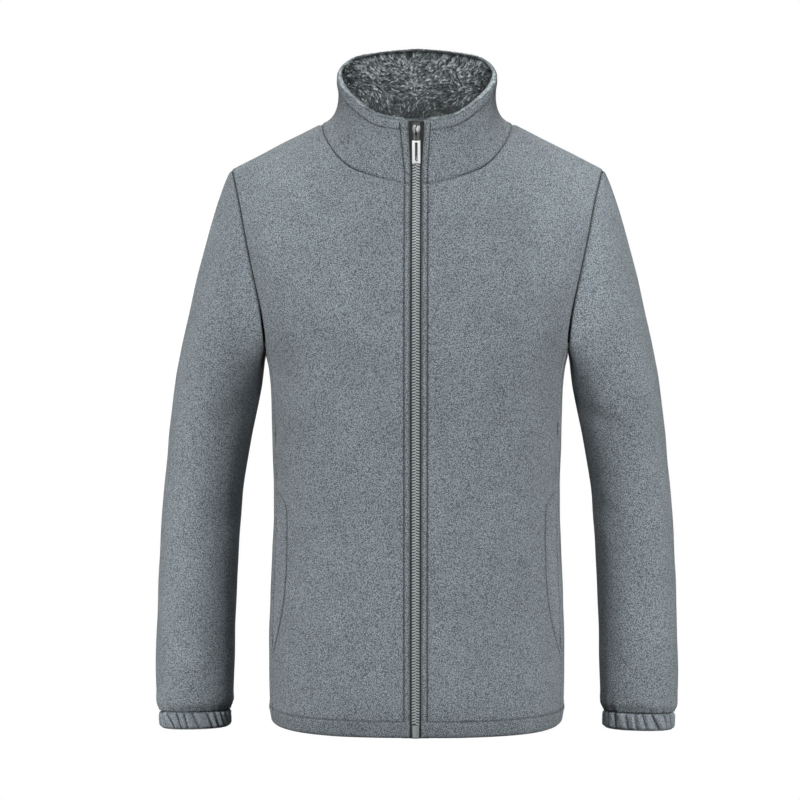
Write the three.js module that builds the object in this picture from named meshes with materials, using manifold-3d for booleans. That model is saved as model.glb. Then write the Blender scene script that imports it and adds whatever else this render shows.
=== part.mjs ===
// Fleece zip jacket, worn shape with no wearer: hollow body, sleeves, stand collar and front zip.
// Millimetres, +Z up, the front faces -Y, +X is the wearer's left.
// The origin lies between the two neck points of the shoulder seams, where the wearer carries the jacket.
import * as THREE from "three";
import { mergeVertices } from "three/addons/utils/BufferGeometryUtils.js";
import Module from "manifold-3d";

const wasm = await Module();
wasm.setup();

// Driving sizes of the cloth
const clothThick = 3;
const seamGap = 0.3;
const hemZ = -682.5;
const underarmZ = -259;
const shoulderSlope = 0.505;
const neckPointX = 109;
const neckPointZ = 4;
const shoulderY = 6;
const shoulderWidening = 49;
const frontSquare = 2.7;
const backSquare = 2.3;
const frontArch = 1.8;
const backArch = 2;
const sideSeamAngle = 73;
const zipEdgeX = 7;
const ridgeHeight = 0.9;

// Sections round the body from hem to underarm: half width, and depth of front and back from the side line
const bodySections = [
  { z: hemZ, halfWidth: 167, front: 126, back: 114 },
  { z: -664, halfWidth: 170, front: 127, back: 115 },
  { z: -602, halfWidth: 170.6, front: 128, back: 113 },
  { z: -545, halfWidth: 169, front: 128, back: 108 },
  { z: -490, halfWidth: 166.5, front: 128, back: 103 },
  { z: -430, halfWidth: 164.6, front: 129, back: 101 },
  { z: -361, halfWidth: 166, front: 130, back: 105 },
  { z: -319, halfWidth: 167, front: 131, back: 111 },
  { z: -278, halfWidth: 169.6, front: 131, back: 116 },
  { z: underarmZ, halfWidth: 173.8, front: 131, back: 118 },
];

// Armhole seam on the body, from the side seam over the front to the shoulder: angle round the body and rise
const frontArmhole = [
  { angle: 73, rise: 0.045 },
  { angle: 68, rise: 0.108 },
  { angle: 64.3, rise: 0.23 },
  { angle: 63, rise: 0.45 },
  { angle: 63.3, rise: 0.7 },
  { angle: 65, rise: 0.84 },
  { angle: 68.5, rise: 0.96 },
  { angle: 71.4, rise: 1 },
];
// The same seam from the side seam under the arm and up the back
const backArmhole = [
  { angle: 73, rise: 0.045 },
  { angle: 80, rise: 0.014 },
  { angle: 90, rise: 0 },
  { angle: 99, rise: 0.02 },
  { angle: 105, rise: 0.07 },
  { angle: 109.5, rise: 0.18 },
  { angle: 112, rise: 0.4 },
  { angle: 112.5, rise: 0.65 },
  { angle: 111.5, rise: 0.83 },
  { angle: 109.9, rise: 0.95 },
  { angle: 108.6, rise: 1 },
];
// Neckline seam, front from the zip to the shoulder and back from the middle to the shoulder
const frontNeckline = [
  { x: 7, rise: 0.654 },
  { x: 22, rise: 0.668 },
  { x: 38, rise: 0.688 },
  { x: 57, rise: 0.718 },
  { x: 72, rise: 0.75 },
  { x: 86, rise: 0.803 },
  { x: 98, rise: 0.875 },
  { x: 106, rise: 0.943 },
  { x: 110, rise: 1 },
];
const backNeckline = [
  { x: 0, rise: 0.925 },
  { x: 30, rise: 0.929 },
  { x: 60, rise: 0.941 },
  { x: 85, rise: 0.962 },
  { x: 102, rise: 0.985 },
  { x: 110, rise: 1 },
];
// Pocket mouth: how far round the body the front reaches beside the pocket
const pocketMouth = [
  { z: -600, angle: 73 },
  { z: -588, angle: 69.5 },
  { z: -564, angle: 64.5 },
  { z: -536, angle: 61 },
  { z: -508, angle: 60 },
  { z: -479, angle: 60 },
  { z: -441, angle: 61 },
  { z: -428, angle: 62 },
  { z: -420, angle: 66.5 },
  { z: -413, angle: 73 },
];

// Collar: edge of the stand above each share of the half neckline, and how the cloth leaves the seam
const collarEdge = [
  { share: 0, x: 10, y: -79, z: 2, inward: 16, up: 60 },
  { share: 0.17, x: 44, y: -71.5, z: 8, inward: 22, up: 55 },
  { share: 0.32, x: 70, y: -51, z: 26, inward: 40, up: 40 },
  { share: 0.45, x: 86, y: -28, z: 45, inward: 62, up: 28 },
  { share: 0.56, x: 90.5, y: -3, z: 61.5, inward: 76, up: 22 },
  { share: 0.7, x: 79, y: 30, z: 78, inward: 55, up: 32 },
  { share: 0.85, x: 45, y: 54, z: 86.5, inward: 26, up: 50 },
  { share: 1, x: 0, y: 62, z: 91, inward: 14, up: 60 },
];

// Sleeve sections below the armhole, centre and half sizes
const sleeveSections = [
  { z: -292, x: 228, y: 2, halfWidth: 49.6, halfDepth: 71 },
  { z: -347, x: 238, y: 4, halfWidth: 47.6, halfDepth: 66 },
  { z: -402, x: 245.2, y: 4, halfWidth: 45.6, halfDepth: 62 },
  { z: -457, x: 250, y: 1, halfWidth: 45.4, halfDepth: 59 },
  { z: -513, x: 252.8, y: -4, halfWidth: 45.4, halfDepth: 56 },
  { z: -568, x: 254.6, y: -10, halfWidth: 45, halfDepth: 53 },
  { z: -623, x: 256, y: -16, halfWidth: 45, halfDepth: 51 },
  { z: -648, x: 256.2, y: -19, halfWidth: 44.4, halfDepth: 49 },
  { z: -660, x: 256, y: -20, halfWidth: 43, halfDepth: 46 },
  { z: -670, x: 255.8, y: -21, halfWidth: 40, halfDepth: 41 },
];
const sleeveSquare = 2.15;
const cuff = { height: 20, waves: 22, waveHeight: 1.8, wall: 2.6, pointsPerWave: 4, sway: 4, slant: 22 };
// How the sleeve leaves the armhole: outward, forward and down, and how firmly, at top, side and underarm
const capLeave = { topOut: 0.5, underOut: 0.25, forward: 0.16, down: 0.87, top: 118, side: 95, under: 34 };
const capRings = 6;

const { lerp, degToRad, radToDeg, clamp } = THREE.MathUtils;
const vec = (x, y, z) => new THREE.Vector3(x, y, z);
const steps = (from, to, count) => Array.from({ length: count + 1 }, (_, i) => lerp(from, to, i / count));

// Smooth value of a table's column at a place in its key column
function read(table, key, at, column) {
  const sign = Math.sign(table[table.length - 1][key] - table[0][key]);
  let i = 0;
  while (i < table.length - 2 && (at - table[i + 1][key]) * sign > 0) i += 1;
  const [a, b] = [table[i], table[i + 1]];
  const span = b[key] - a[key];
  const t = clamp((at - a[key]) / span, 0, 1);
  const slopeAt = (j) => {
    const [p, q] = [table[Math.max(j - 1, 0)], table[Math.min(j + 1, table.length - 1)]];
    return (q[column] - p[column]) / (q[key] - p[key]);
  };
  const [m0, m1] = [slopeAt(i) * span, slopeAt(i + 1) * span];
  const [t2, t3] = [t * t, t * t * t];
  return (2 * t3 - 3 * t2 + 1) * a[column] + (t3 - 2 * t2 + t) * m0
    + (3 * t2 - 2 * t3) * b[column] + (t3 - t2) * m1;
}

// Height of the shoulder line above a distance from the middle, level at the middle of the neck
function shoulderLine(x) {
  const out = Math.abs(x) - neckPointX;
  if (out > 0) return neckPointZ - shoulderSlope * out;
  return neckPointZ - shoulderSlope * out - (shoulderSlope * out * out) / (2 * neckPointX);
}

const power = (base, exponent) => Math.sign(base) * Math.abs(base) ** exponent;
// Level is negative below the underarm (-1 at the hem) and turns from 0 at the underarm to 1 at the shoulder
const riseOf = (level) => Math.sin(degToRad(90 * clamp(level, 0, 1)));
const levelOf = (rise) => radToDeg(Math.asin(clamp(rise, 0, 1))) / 90;
const levelAtZ = (z) => (z - underarmZ) / (underarmZ - hemZ);

function bodySize(level) {
  const rise = riseOf(level);
  if (level > 0) {
    const top = bodySections[bodySections.length - 1];
    return { ...top, halfWidth: top.halfWidth + shoulderWidening * (1 - (1 - rise) ** 1.6), rise };
  }
  const z = lerp(underarmZ, hemZ, -Math.max(level, -1));
  const column = (name) => read(bodySections, "z", z, name);
  return { z, halfWidth: column("halfWidth"), front: column("front"), back: column("back"), rise: 0 };
}

// Outer surface of the body: angle round it from the middle of the front (0) to the middle of the back (180)
function body(angle, level) {
  const { z, halfWidth, front, back, rise } = bodySize(level);
  const [s, c] = [Math.sin(degToRad(angle)), Math.cos(degToRad(angle))];
  const facesFront = c > 0;
  const square = facesFront ? frontSquare : backSquare;
  const arch = facesFront ? frontArch : backArch;
  const x = halfWidth * power(s, 2 / square);
  const depth = (facesFront ? front : back) * power(-c, 2 / square);
  const shrink = Math.max(0, 1 - rise ** arch) ** (1 / arch);
  const height = level > 0 ? underarmZ + (shoulderLine(x) - underarmZ) * rise : z;
  return vec(x, shoulderY * rise + depth * shrink, height);
}

// Angle at which the body is x wide
function angleAtX(x, level) {
  const share = clamp(x / bodySize(level).halfWidth, 0, 1);
  return radToDeg(Math.asin(share ** (frontSquare / 2)));
}
function backAngleAtX(x, level) {
  const share = clamp(x / bodySize(level).halfWidth, 0, 1);
  return 180 - radToDeg(Math.asin(share ** (backSquare / 2)));
}

// Outward direction of the body
function bodyOut(angle, level) {
  if (level > 0.999) return vec(shoulderSlope, 0, 1).normalize();
  const [turn, lift] = [0.4, 0.004];
  const across = body(angle + turn, level).sub(body(angle - turn, level));
  const up = body(angle, level + lift).sub(body(angle, Math.max(level - lift, -1)));
  return across.cross(up).normalize();
}

// Points at even distances along a curve given by a function of 0 to 1
function evenShares(curve, count) {
  const fine = 400;
  const lengths = [0];
  let last = curve(0);
  for (let i = 1; i <= fine; i += 1) {
    const next = curve(i / fine);
    lengths.push(lengths[i - 1] + next.distanceTo(last));
    last = next;
  }
  return steps(0, lengths[fine], count).map((length) => {
    let i = 1;
    while (i < fine && lengths[i] < length) i += 1;
    return (i - 1 + (length - lengths[i - 1]) / (lengths[i] - lengths[i - 1])) / fine;
  });
}

// A seam on the body through a table, as places { angle, level } at even distances
function seamPlaces(table, count, angleOf) {
  const keyed = table.map((row, i) => ({ ...row, at: i / (table.length - 1) }));
  const place = (t) => {
    const level = levelOf(read(keyed, "at", t, "rise"));
    return { angle: angleOf ? angleOf(read(keyed, "at", t, "x"), level) : read(keyed, "at", t, "angle"), level };
  };
  return evenShares((t) => body(place(t).angle, place(t).level), count).map(place);
}

// A closed solid from triangles; it is turned to face outwards
function solid(points, faces) {
  let volume = 0;
  for (const [a, b, c] of faces) volume += points[a].dot(points[b].clone().cross(points[c]));
  const turned = volume < 0 ? faces.map(([a, b, c]) => [a, c, b]) : faces;
  const geometry = new THREE.BufferGeometry();
  const flat = turned.flatMap((face) => face.flatMap((i) => points[i].toArray()));
  geometry.setAttribute("position", new THREE.Float32BufferAttribute(flat, 3));
  geometry.computeVertexNormals();
  return geometry;
}

// A wall between two grids of points [row][column]; a ring's last column meets its first
function wall(outer, inner, ring = false) {
  const [rows, columns] = [outer.length, outer[0].length];
  const points = [...outer.flat(), ...inner.flat()];
  const at = (row, column, side) => side * rows * columns + row * columns + (column % columns);
  const faces = [];
  const quad = (a, b, c, d) => faces.push([a, b, c], [a, c, d]);
  for (let r = 0; r < rows - 1; r += 1) {
    for (let c = 0; c < columns - (ring ? 0 : 1); c += 1) {
      quad(at(r, c, 0), at(r, c + 1, 0), at(r + 1, c + 1, 0), at(r + 1, c, 0));
      quad(at(r, c, 1), at(r + 1, c, 1), at(r + 1, c + 1, 1), at(r, c + 1, 1));
    }
    if (!ring) {
      quad(at(r, 0, 0), at(r + 1, 0, 0), at(r + 1, 0, 1), at(r, 0, 1));
      quad(at(r, columns - 1, 0), at(r, columns - 1, 1), at(r + 1, columns - 1, 1), at(r + 1, columns - 1, 0));
    }
  }
  for (let c = 0; c < columns - (ring ? 0 : 1); c += 1) {
    quad(at(0, c, 0), at(0, c, 1), at(0, c + 1, 1), at(0, c + 1, 0));
    quad(at(rows - 1, c, 0), at(rows - 1, c + 1, 0), at(rows - 1, c + 1, 1), at(rows - 1, c, 1));
  }
  return solid(points, faces);
}

const mirrored = (geometry) => {
  const copy = geometry.clone();
  const p = copy.attributes.position;
  for (let i = 0; i < p.count; i += 3) {
    const corners = [0, 2, 1].map((k) => [-p.getX(i + k), p.getY(i + k), p.getZ(i + k)]);
    corners.forEach((corner, k) => p.setXYZ(i + k, ...corner));
  }
  copy.computeVertexNormals();
  return copy;
};

const toManifold = (geometry) => {
  const loose = geometry.index ? geometry.toNonIndexed() : geometry;
  const bare = new THREE.BufferGeometry().setAttribute("position", loose.attributes.position);
  const merged = mergeVertices(bare, 1e-3);
  const triVerts = new Uint32Array(merged.index.array);
  const vertProperties = merged.attributes.position.array;
  return new wasm.Manifold(new wasm.Mesh({ numProp: 3, vertProperties, triVerts }));
};
const fromManifold = (made) => {
  const { vertProperties, triVerts } = made.getMesh();
  const geometry = new THREE.BufferGeometry();
  geometry.setAttribute("position", new THREE.BufferAttribute(vertProperties, 3));
  geometry.setIndex(new THREE.BufferAttribute(triVerts, 1));
  geometry.computeVertexNormals();
  return geometry;
};
const joined = (...parts) => fromManifold(parts.map(toManifold).reduce((a, b) => a.add(b)));

// Heights of the rows below the underarm, with the hem band and the pocket's ends
const hemRows = [hemZ, hemZ + 1.6, hemZ + 19, hemZ + 21.5];
const pocketRows = pocketMouth.map((row) => row.z);
const lowerRows = [...hemRows, -630, ...pocketRows, -380, -340, -303, -276];
const frontUpperRows = 13;
const frontNeckRows = 7;
const backUpperRows = 17;
const backNeckRows = 5;
const junction = { angle: sideSeamAngle, level: levelOf(frontArmhole[0].rise) };

const isHemBand = (z) => z > hemZ + 1 && z < hemZ + 20;
const inPocket = (z) => z >= pocketMouth[0].z && z <= pocketMouth[pocketMouth.length - 1].z;

// A panel's rows of places from its inner edge to its outer edge
function panelRows({ innerLower, innerEdge, outerEdge, outerLower }) {
  const lower = lowerRows.map((z) => ({
    inner: { angle: innerLower(levelAtZ(z)), level: levelAtZ(z) },
    outer: { angle: outerLower(z), level: levelAtZ(z) },
    z,
  }));
  return [...lower, ...outerEdge.map((outer, i) => ({ inner: innerEdge[i], outer, z: 0 }))];
}

// Places on a row: the first few at fixed distances from the inner edge, the rest evenly to the side seam or
// armhole; beside the pocket only the last of them move in, to its mouth
const mouthColumns = 3;
function rowPlaces(row, edgeSteps, count, angleOf) {
  const startX = body(row.inner.angle, row.inner.level).x;
  const { level } = row.inner;
  const near = edgeSteps.map((step) => ({ angle: angleOf(startX + step, level), level }));
  const start = near[near.length - 1];
  const full = row.z < 0 ? sideSeamAngle : row.outer.angle;
  const rest = steps(0, 1, count).slice(1).map((t) => ({
    angle: lerp(start.angle, full, t),
    level: lerp(start.level, row.outer.level, t),
  }));
  const kept = rest[count - mouthColumns - 1].angle;
  const squeeze = (row.outer.angle - kept) / (full - kept);
  return [...near, ...rest.map((place, i) => (
    i < count - mouthColumns ? place : { ...place, angle: lerp(kept, place.angle, squeeze) }))];
}

// Moves the ends of a row of points towards its middle, so that pieces stay apart at a seam
function trimEnds(points, first, last) {
  const out = points.map((p) => p.clone());
  const n = points.length - 1;
  if (first) out[0].add(points[1].clone().sub(points[0]).setLength(first));
  if (last) out[n].add(points[n - 1].clone().sub(points[n]).setLength(last));
  return out;
}

function panel(rows, edgeSteps, count, angleOf, trimFirst, ridge) {
  const [outer, inner] = [[], []];
  for (const row of rows) {
    const places = rowPlaces(row, edgeSteps, count, angleOf);
    const face = places.map(({ angle, level }) => body(angle, level));
    const out = places.map(({ angle, level }) => bodyOut(angle, level));
    const raised = face.map((p, i) => p.clone().addScaledVector(out[i], ridge(row, i)));
    const back = face.map((p, i) => p.clone().addScaledVector(out[i], -clothThick));
    outer.push(trimEnds(raised, trimFirst, seamGap / 2));
    inner.push(trimEnds(back, trimFirst, seamGap / 2));
  }
  // The top row keeps clear of the shoulder seam
  const top = rows.length - 1;
  for (const grid of [outer, inner]) {
    grid[top].forEach((p, i) => p.add(grid[top - 1][i].clone().sub(p).setLength(seamGap / 2)));
  }
  return wall(outer, inner);
}

// Front: a ridge beside the zip and the turned hem stand proud of the cloth
const placketSteps = [0, 1.4, 6, 8];
const outerFrontLower = (z) => (inPocket(z) ? read(pocketMouth, "z", z, "angle") : sideSeamAngle);
const frontArmPlaces = seamPlaces(frontArmhole, frontUpperRows);
const frontNeckPlaces = seamPlaces(frontNeckline, frontNeckRows, angleAtX);
const neckLevel = frontNeckPlaces[0].level;
const frontInner = [
  ...steps(junction.level, neckLevel, frontUpperRows - frontNeckRows).map((level) => ({
    angle: angleAtX(zipEdgeX, level),
    level,
  })),
  ...frontNeckPlaces.slice(1),
];
const frontRows = panelRows({
  innerLower: (level) => angleAtX(zipEdgeX, level),
  innerEdge: frontInner,
  outerEdge: frontArmPlaces,
  outerLower: outerFrontLower,
});
const placketRow = (row) => row.z < 0 || row.inner.level < neckLevel - 0.01;
const frontRidge = (row, column) => {
  if (isHemBand(row.z)) return ridgeHeight;
  const onPlacket = column === 1 || column === 2;
  return placketRow(row) && onPlacket ? ridgeHeight : 0;
};
const frontLeft = panel(frontRows, placketSteps, 9, angleAtX, 0, frontRidge);

// Back: one piece, made as a half and its mirror image
const backArmPlaces = seamPlaces(backArmhole, backUpperRows);
const backNeckPlaces = seamPlaces(backNeckline, backNeckRows, backAngleAtX);
const backNeckLevel = backNeckPlaces[0].level;
const backInner = [
  ...steps(junction.level, backNeckLevel, backUpperRows - backNeckRows).map((level) => ({ angle: 180, level })),
  ...backNeckPlaces.slice(1),
];
const backRows = panelRows({
  innerLower: () => 180,
  innerEdge: backInner,
  outerEdge: backArmPlaces,
  outerLower: () => sideSeamAngle,
});
const backHalf = panel(backRows, [0], 10, backAngleAtX, 0, (row) => (isHemBand(row.z) ? ridgeHeight : 0));
const back = joined(backHalf, mirrored(backHalf));

// Pocket facing: shows between the pocket mouth and the side seam, and runs in behind the front
const facingUnderlap = 5;
const facingDrop = clothThick + 0.9;
function pocketFacing() {
  const [outer, inner] = [[], []];
  for (const z of [-595, -587, -564, -536, -508, -479, -441, -428, -420, -415]) {
    const level = levelAtZ(z);
    const mouth = read(pocketMouth, "z", z, "angle");
    const across = steps(mouth - facingUnderlap, sideSeamAngle, 5);
    const sunk = across.map((angle) => facingDrop * (1 - THREE.MathUtils.smoothstep(angle, mouth, sideSeamAngle)));
    const place = (depth) => across.map((angle, i) => (
      body(angle, level).addScaledVector(bodyOut(angle, level), -sunk[i] - depth)));
    outer.push(trimEnds(place(0), 0, seamGap));
    inner.push(trimEnds(place(clothThick), 0, seamGap));
  }
  return wall(outer, inner);
}

// Collar: a band from the zip round the back of the neck to the zip
const halfNeck = [...frontNeckPlaces, ...backNeckPlaces.slice(0, -1).reverse()];
const neckPoints = halfNeck.map(({ angle, level }) => body(angle, level));
const neckShares = neckPoints.reduce((shares, p, i) => {
  shares.push(i ? shares[i - 1] + p.distanceTo(neckPoints[i - 1]) : 0);
  return shares;
}, []);
const neckLength = neckShares[neckShares.length - 1];

// Point of the collar over a place on the neckline, 0 at the seam and 1 at the free edge
function collarPoint(i, lift) {
  const share = neckShares[i] / neckLength;
  const column = (name) => read(collarEdge, "share", share, name);
  const base = neckPoints[i];
  const edge = vec(column("x"), column("y"), column("z"));
  const inward = vec(-base.x, -base.y * 0.8, 0).setLength(column("inward"));
  const leave = inward.add(vec(0, 0, column("up")));
  const arrive = vec(0, 0, edge.z - base.z);
  const [t, t2, t3] = [lift, lift ** 2, lift ** 3];
  return base.clone().multiplyScalar(2 * t3 - 3 * t2 + 1)
    .addScaledVector(leave, t3 - 2 * t2 + t)
    .addScaledVector(edge, 3 * t2 - 2 * t3)
    .addScaledVector(arrive, t3 - t2);
}

const collarLifts = [0, 0.1, 0.24, 0.42, 0.62, 0.82, 0.86, 0.98, 1];
// Columns run from the wearer's left side of the zip round the back to the right side
function collarGrid() {
  const half = collarLifts.map((lift) => {
    const line = neckPoints.map((_, i) => collarPoint(i, lift));
    const [edge, next] = line;
    const beside = placketSteps.slice(1).map((step) => edge.clone().lerp(next, step / (next.x - edge.x)));
    return [edge, ...beside, ...line.slice(1)];
  });
  return half.map((line) => [...line, ...line.slice(0, -1).reverse().map((p) => vec(-p.x, p.y, p.z))]);
}

// Outward direction at each point of a grid, from its neighbours
function gridOut(grid, ring = false) {
  const [rows, columns] = [grid.length, grid[0].length];
  return grid.map((line, r) => line.map((_, c) => {
    const [before, after] = ring
      ? [(c + columns - 1) % columns, (c + 1) % columns]
      : [Math.max(c - 1, 0), Math.min(c + 1, columns - 1)];
    const across = grid[r][after].clone().sub(grid[r][before]);
    const up = grid[Math.min(r + 1, rows - 1)][c].clone().sub(grid[Math.max(r - 1, 0)][c]);
    return across.cross(up).normalize();
  }));
}
const offset = (grid, out, distance) => grid.map((line, r) => line.map((p, c) => (
  p.clone().addScaledVector(out[r][c], typeof distance === "function" ? distance(r, c) : distance))));

const collarFace = collarGrid();
const collarOut = gridOut(collarFace);
const collarColumns = collarFace[0].length;
const onCollarPlacket = (c) => [1, 2, collarColumns - 3, collarColumns - 2].includes(c);
const collarRidge = (r, c) => {
  if (r === 0 || r === collarLifts.length - 1) return 0;
  return onCollarPlacket(c) || r === collarLifts.length - 2 ? ridgeHeight : 0;
};
const lifted = (grid) => grid.map((line, r) => line.map((p, c) => (
  r ? p : p.clone().add(grid[1][c].clone().sub(p).setLength(seamGap)))));
const collar = wall(
  lifted(offset(collarFace, collarOut, collarRidge)),
  lifted(offset(collarFace, collarOut, -clothThick)),
);

// Plush lining inside the collar, clear of the zip tapes; its edge stands a little over the collar's
const lining = { thick: 3.2, start: 0.3, firstRow: 1, over: 2.6, overThick: 2, overSet: 0.4 };
function collarLining() {
  const cut = (grid) => grid.slice(lining.firstRow).map((line) => {
    const last = placketSteps.length - 1;
    const n = line.length - 1;
    const end = (a, b) => line[a].clone().lerp(line[b], lining.start);
    return [end(last, last + 1), ...line.slice(last + 1, n - last), end(n - last, n - last - 1)];
  });
  const [face, out] = [cut(collarFace), cut(collarOut)];
  const top = face.length - 1;
  const over = face[top].map((p) => p.clone().setZ(p.z + lining.over));
  const near = clothThick + seamGap;
  const layer = (depth, overDepth) => [
    ...offset(face, out, -depth),
    over.map((p, c) => p.clone().addScaledVector(out[top][c], -overDepth)),
  ];
  const overNear = near + lining.overSet;
  return wall(layer(near, overNear), layer(near + lining.thick, overNear + lining.overThick));
}

// Sleeve: leaves the armhole seam and hangs down through its sections
const armPlaces = [
  ...[...frontArmPlaces].reverse(),
  ...backArmPlaces.slice(1, -1),
];
const armSeam = armPlaces.map(({ angle, level }) => body(angle, level));
const armOut = armPlaces.map(({ angle, level }) => bodyOut(angle, level));
// Angle round the sleeve of each armhole point: 0 outside, 90 front, 180 inside, 270 back
function sleeveAngles() {
  const lengths = armSeam.reduce((all, p, i) => {
    all.push(i ? all[i - 1] + p.distanceTo(armSeam[i - 1]) : 0);
    return all;
  }, []);
  const whole = lengths[lengths.length - 1] + armSeam[0].distanceTo(armSeam[armSeam.length - 1]);
  const lowest = armSeam.reduce((best, p, i) => (p.z < armSeam[best].z ? i : best), 0);
  return lengths.map((length, i) => (i <= lowest
    ? (180 * length) / lengths[lowest]
    : 180 + (180 * (length - lengths[lowest])) / (whole - lengths[lowest])));
}
const roundSleeve = sleeveAngles();

function sleeveRing(z) {
  const column = (name) => read(sleeveSections, "z", z, name);
  const centre = vec(column("x"), column("y"), z);
  const step = 12;
  const end = sleeveSections[sleeveSections.length - 1].z;
  const low = Math.max(z - step, end);
  const high = Math.min(z + step, sleeveSections[0].z);
  const along = vec(
    read(sleeveSections, "z", low, "x") - read(sleeveSections, "z", high, "x"),
    read(sleeveSections, "z", low, "y") - read(sleeveSections, "z", high, "y"),
    low - high,
  ).normalize();
  const side = vec(1, 0, 0).addScaledVector(along, -along.x).normalize();
  const forward = side.clone().cross(along).normalize();
  if (forward.y > 0) forward.negate();
  return { centre, along, side, forward, halfWidth: column("halfWidth"), halfDepth: column("halfDepth") };
}
function ringPoint({ centre, side, forward, halfWidth, halfDepth }, angle) {
  const [s, c] = [Math.sin(degToRad(angle)), Math.cos(degToRad(angle))];
  return centre.clone()
    .addScaledVector(side, halfWidth * power(c, 2 / sleeveSquare))
    .addScaledVector(forward, halfDepth * power(s, 2 / sleeveSquare));
}

// The way the cloth leaves the armhole at an angle round the sleeve
function capStart(angle) {
  const [s, c] = [Math.sin(degToRad(angle)), Math.cos(degToRad(angle))];
  const out = lerp(capLeave.underOut, capLeave.topOut, (1 + c) / 2);
  const firm = c > 0 ? lerp(capLeave.side, capLeave.top, c) : lerp(capLeave.side, capLeave.under, -c);
  return vec(out, -capLeave.forward * s, -capLeave.down).setLength(firm);
}

const sleeveRowZ = [-320, -352, -388, -425, -465, -505, -545, -585, -618, -645, -659, -670];
function sleeve() {
  const first = sleeveRing(sleeveSections[0].z);
  const capLine = (share) => armSeam.map((start, i) => {
    const end = ringPoint(first, roundSleeve[i]);
    const leave = capStart(roundSleeve[i]);
    const arrive = first.along.clone().multiplyScalar(Math.max(60, start.distanceTo(end)));
    const [t, t2, t3] = [share, share ** 2, share ** 3];
    return start.clone().multiplyScalar(2 * t3 - 3 * t2 + 1)
      .addScaledVector(leave, t3 - 2 * t2 + t)
      .addScaledVector(end, 3 * t2 - 2 * t3)
      .addScaledVector(arrive, t3 - t2);
  });
  const face = [
    ...steps(0, 1, capRings).map(capLine),
    ...sleeveRowZ.map((z) => roundSleeve.map((angle) => ringPoint(sleeveRing(z), angle))),
  ];
  const out = gridOut(face, true);
  // Where the sleeve carries on the body's surface its edge is square to the body, and elsewhere to itself
  out[0] = out[0].map((n, i) => {
    const share = THREE.MathUtils.smoothstep(n.dot(armOut[i]), 0, 0.8);
    return n.clone().lerp(armOut[i], share).normalize();
  });
  const inner = offset(face, out, -clothThick);
  const start = face[0].map((p, i) => {
    const opposed = 1 - THREE.MathUtils.smoothstep(out[0][i].dot(armOut[i]), -0.6, 0.8);
    return face[1][i].clone().sub(p).setLength(seamGap).addScaledVector(armOut[i], opposed * 2 * seamGap);
  });
  for (const grid of [face, inner]) grid[0] = grid[0].map((p, i) => p.clone().add(start[i]));
  return wall(face, inner, true);
}

// Cuff: elastic band whose outside is gathered into waves
const cuffRows = [
  { drop: 0, grow: -0.4, wave: 0.4 },
  { drop: 0.2, grow: 0.7, wave: 0.9 },
  { drop: 0.8, grow: 0.6, wave: 0.9 },
  { drop: 1, grow: -1, wave: 0.35 },
];
function sleeveCuff() {
  const end = sleeveRing(sleeveSections[sleeveSections.length - 1].z);
  const count = cuff.waves * cuff.pointsPerWave;
  const line = (row, outside) => steps(0, 360, count).slice(0, -1).map((angle) => {
    const size = { ...end, halfWidth: end.halfWidth + row.grow, halfDepth: end.halfDepth + row.grow };
    const p = ringPoint(size, angle);
    const away = p.clone().sub(end.centre).normalize();
    const uneven = cuff.sway * Math.sin(degToRad(3 * angle)) + cuff.slant * (row.drop - 0.5);
    const wave = 0.5 - 0.5 * Math.cos(degToRad(cuff.waves * angle + uneven));
    p.addScaledVector(end.along, seamGap + row.drop * cuff.height);
    return p.addScaledVector(away, outside ? cuff.waveHeight * row.wave * wave : -cuff.wall);
  });
  return wall(cuffRows.map((row) => line(row, true)), cuffRows.map((row) => line(row, false)), true);
}

// Zip: its rows are those of the fronts and of the collar
const upperZipRows = frontInner.slice(0, frontUpperRows - frontNeckRows + 1);
const zipLevels = [...lowerRows.map(levelAtZ), ...upperZipRows.map((place) => place.level)];
const onFront = (x, level) => {
  const angle = angleAtX(x, level);
  return { p: body(angle, level), n: bodyOut(angle, level) };
};
const onCollar = (column, r) => ({ p: collarFace[r][column], n: collarOut[r][column] });
const middle = ({ p, n }) => ({ p: p.clone().setX(0), n: n.clone().setX(0).normalize() });
const zipRows = [
  ...zipLevels.map((level) => ({
    middle: middle(onFront(0, level)),
    beside: [0, 8].map((step) => onFront(zipEdgeX + step, level)),
    spread: 0,
  })),
  ...collarLifts.slice(1).map((lift, i) => ({
    middle: middle(onCollar(0, i + 1)),
    beside: [0, 3].map((column) => onCollar(column, i + 1)),
    spread: THREE.MathUtils.smoothstep(lift, 0.75, 1),
  })),
];
const mix = (a, b, t) => ({ p: a.p.clone().lerp(b.p, t), n: a.n.clone().lerp(b.n, t).normalize() });
// The zip's rows cut to a stretch of heights
function zipStretch(low, high) {
  const atZ = (z) => {
    const i = Math.max(1, zipRows.findIndex((row) => row.middle.p.z >= z));
    const [a, b] = [zipRows[i - 1], zipRows[i]];
    const t = (z - a.middle.p.z) / (b.middle.p.z - a.middle.p.z);
    const beside = a.beside.map((place, k) => mix(place, b.beside[k], t));
    return { middle: mix(a.middle, b.middle, t), beside, spread: lerp(a.spread, b.spread, t) };
  };
  const between = zipRows.filter((row) => row.middle.p.z > low + 1 && row.middle.p.z < high - 1);
  return [atZ(low), ...between, atZ(high)];
}
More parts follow.
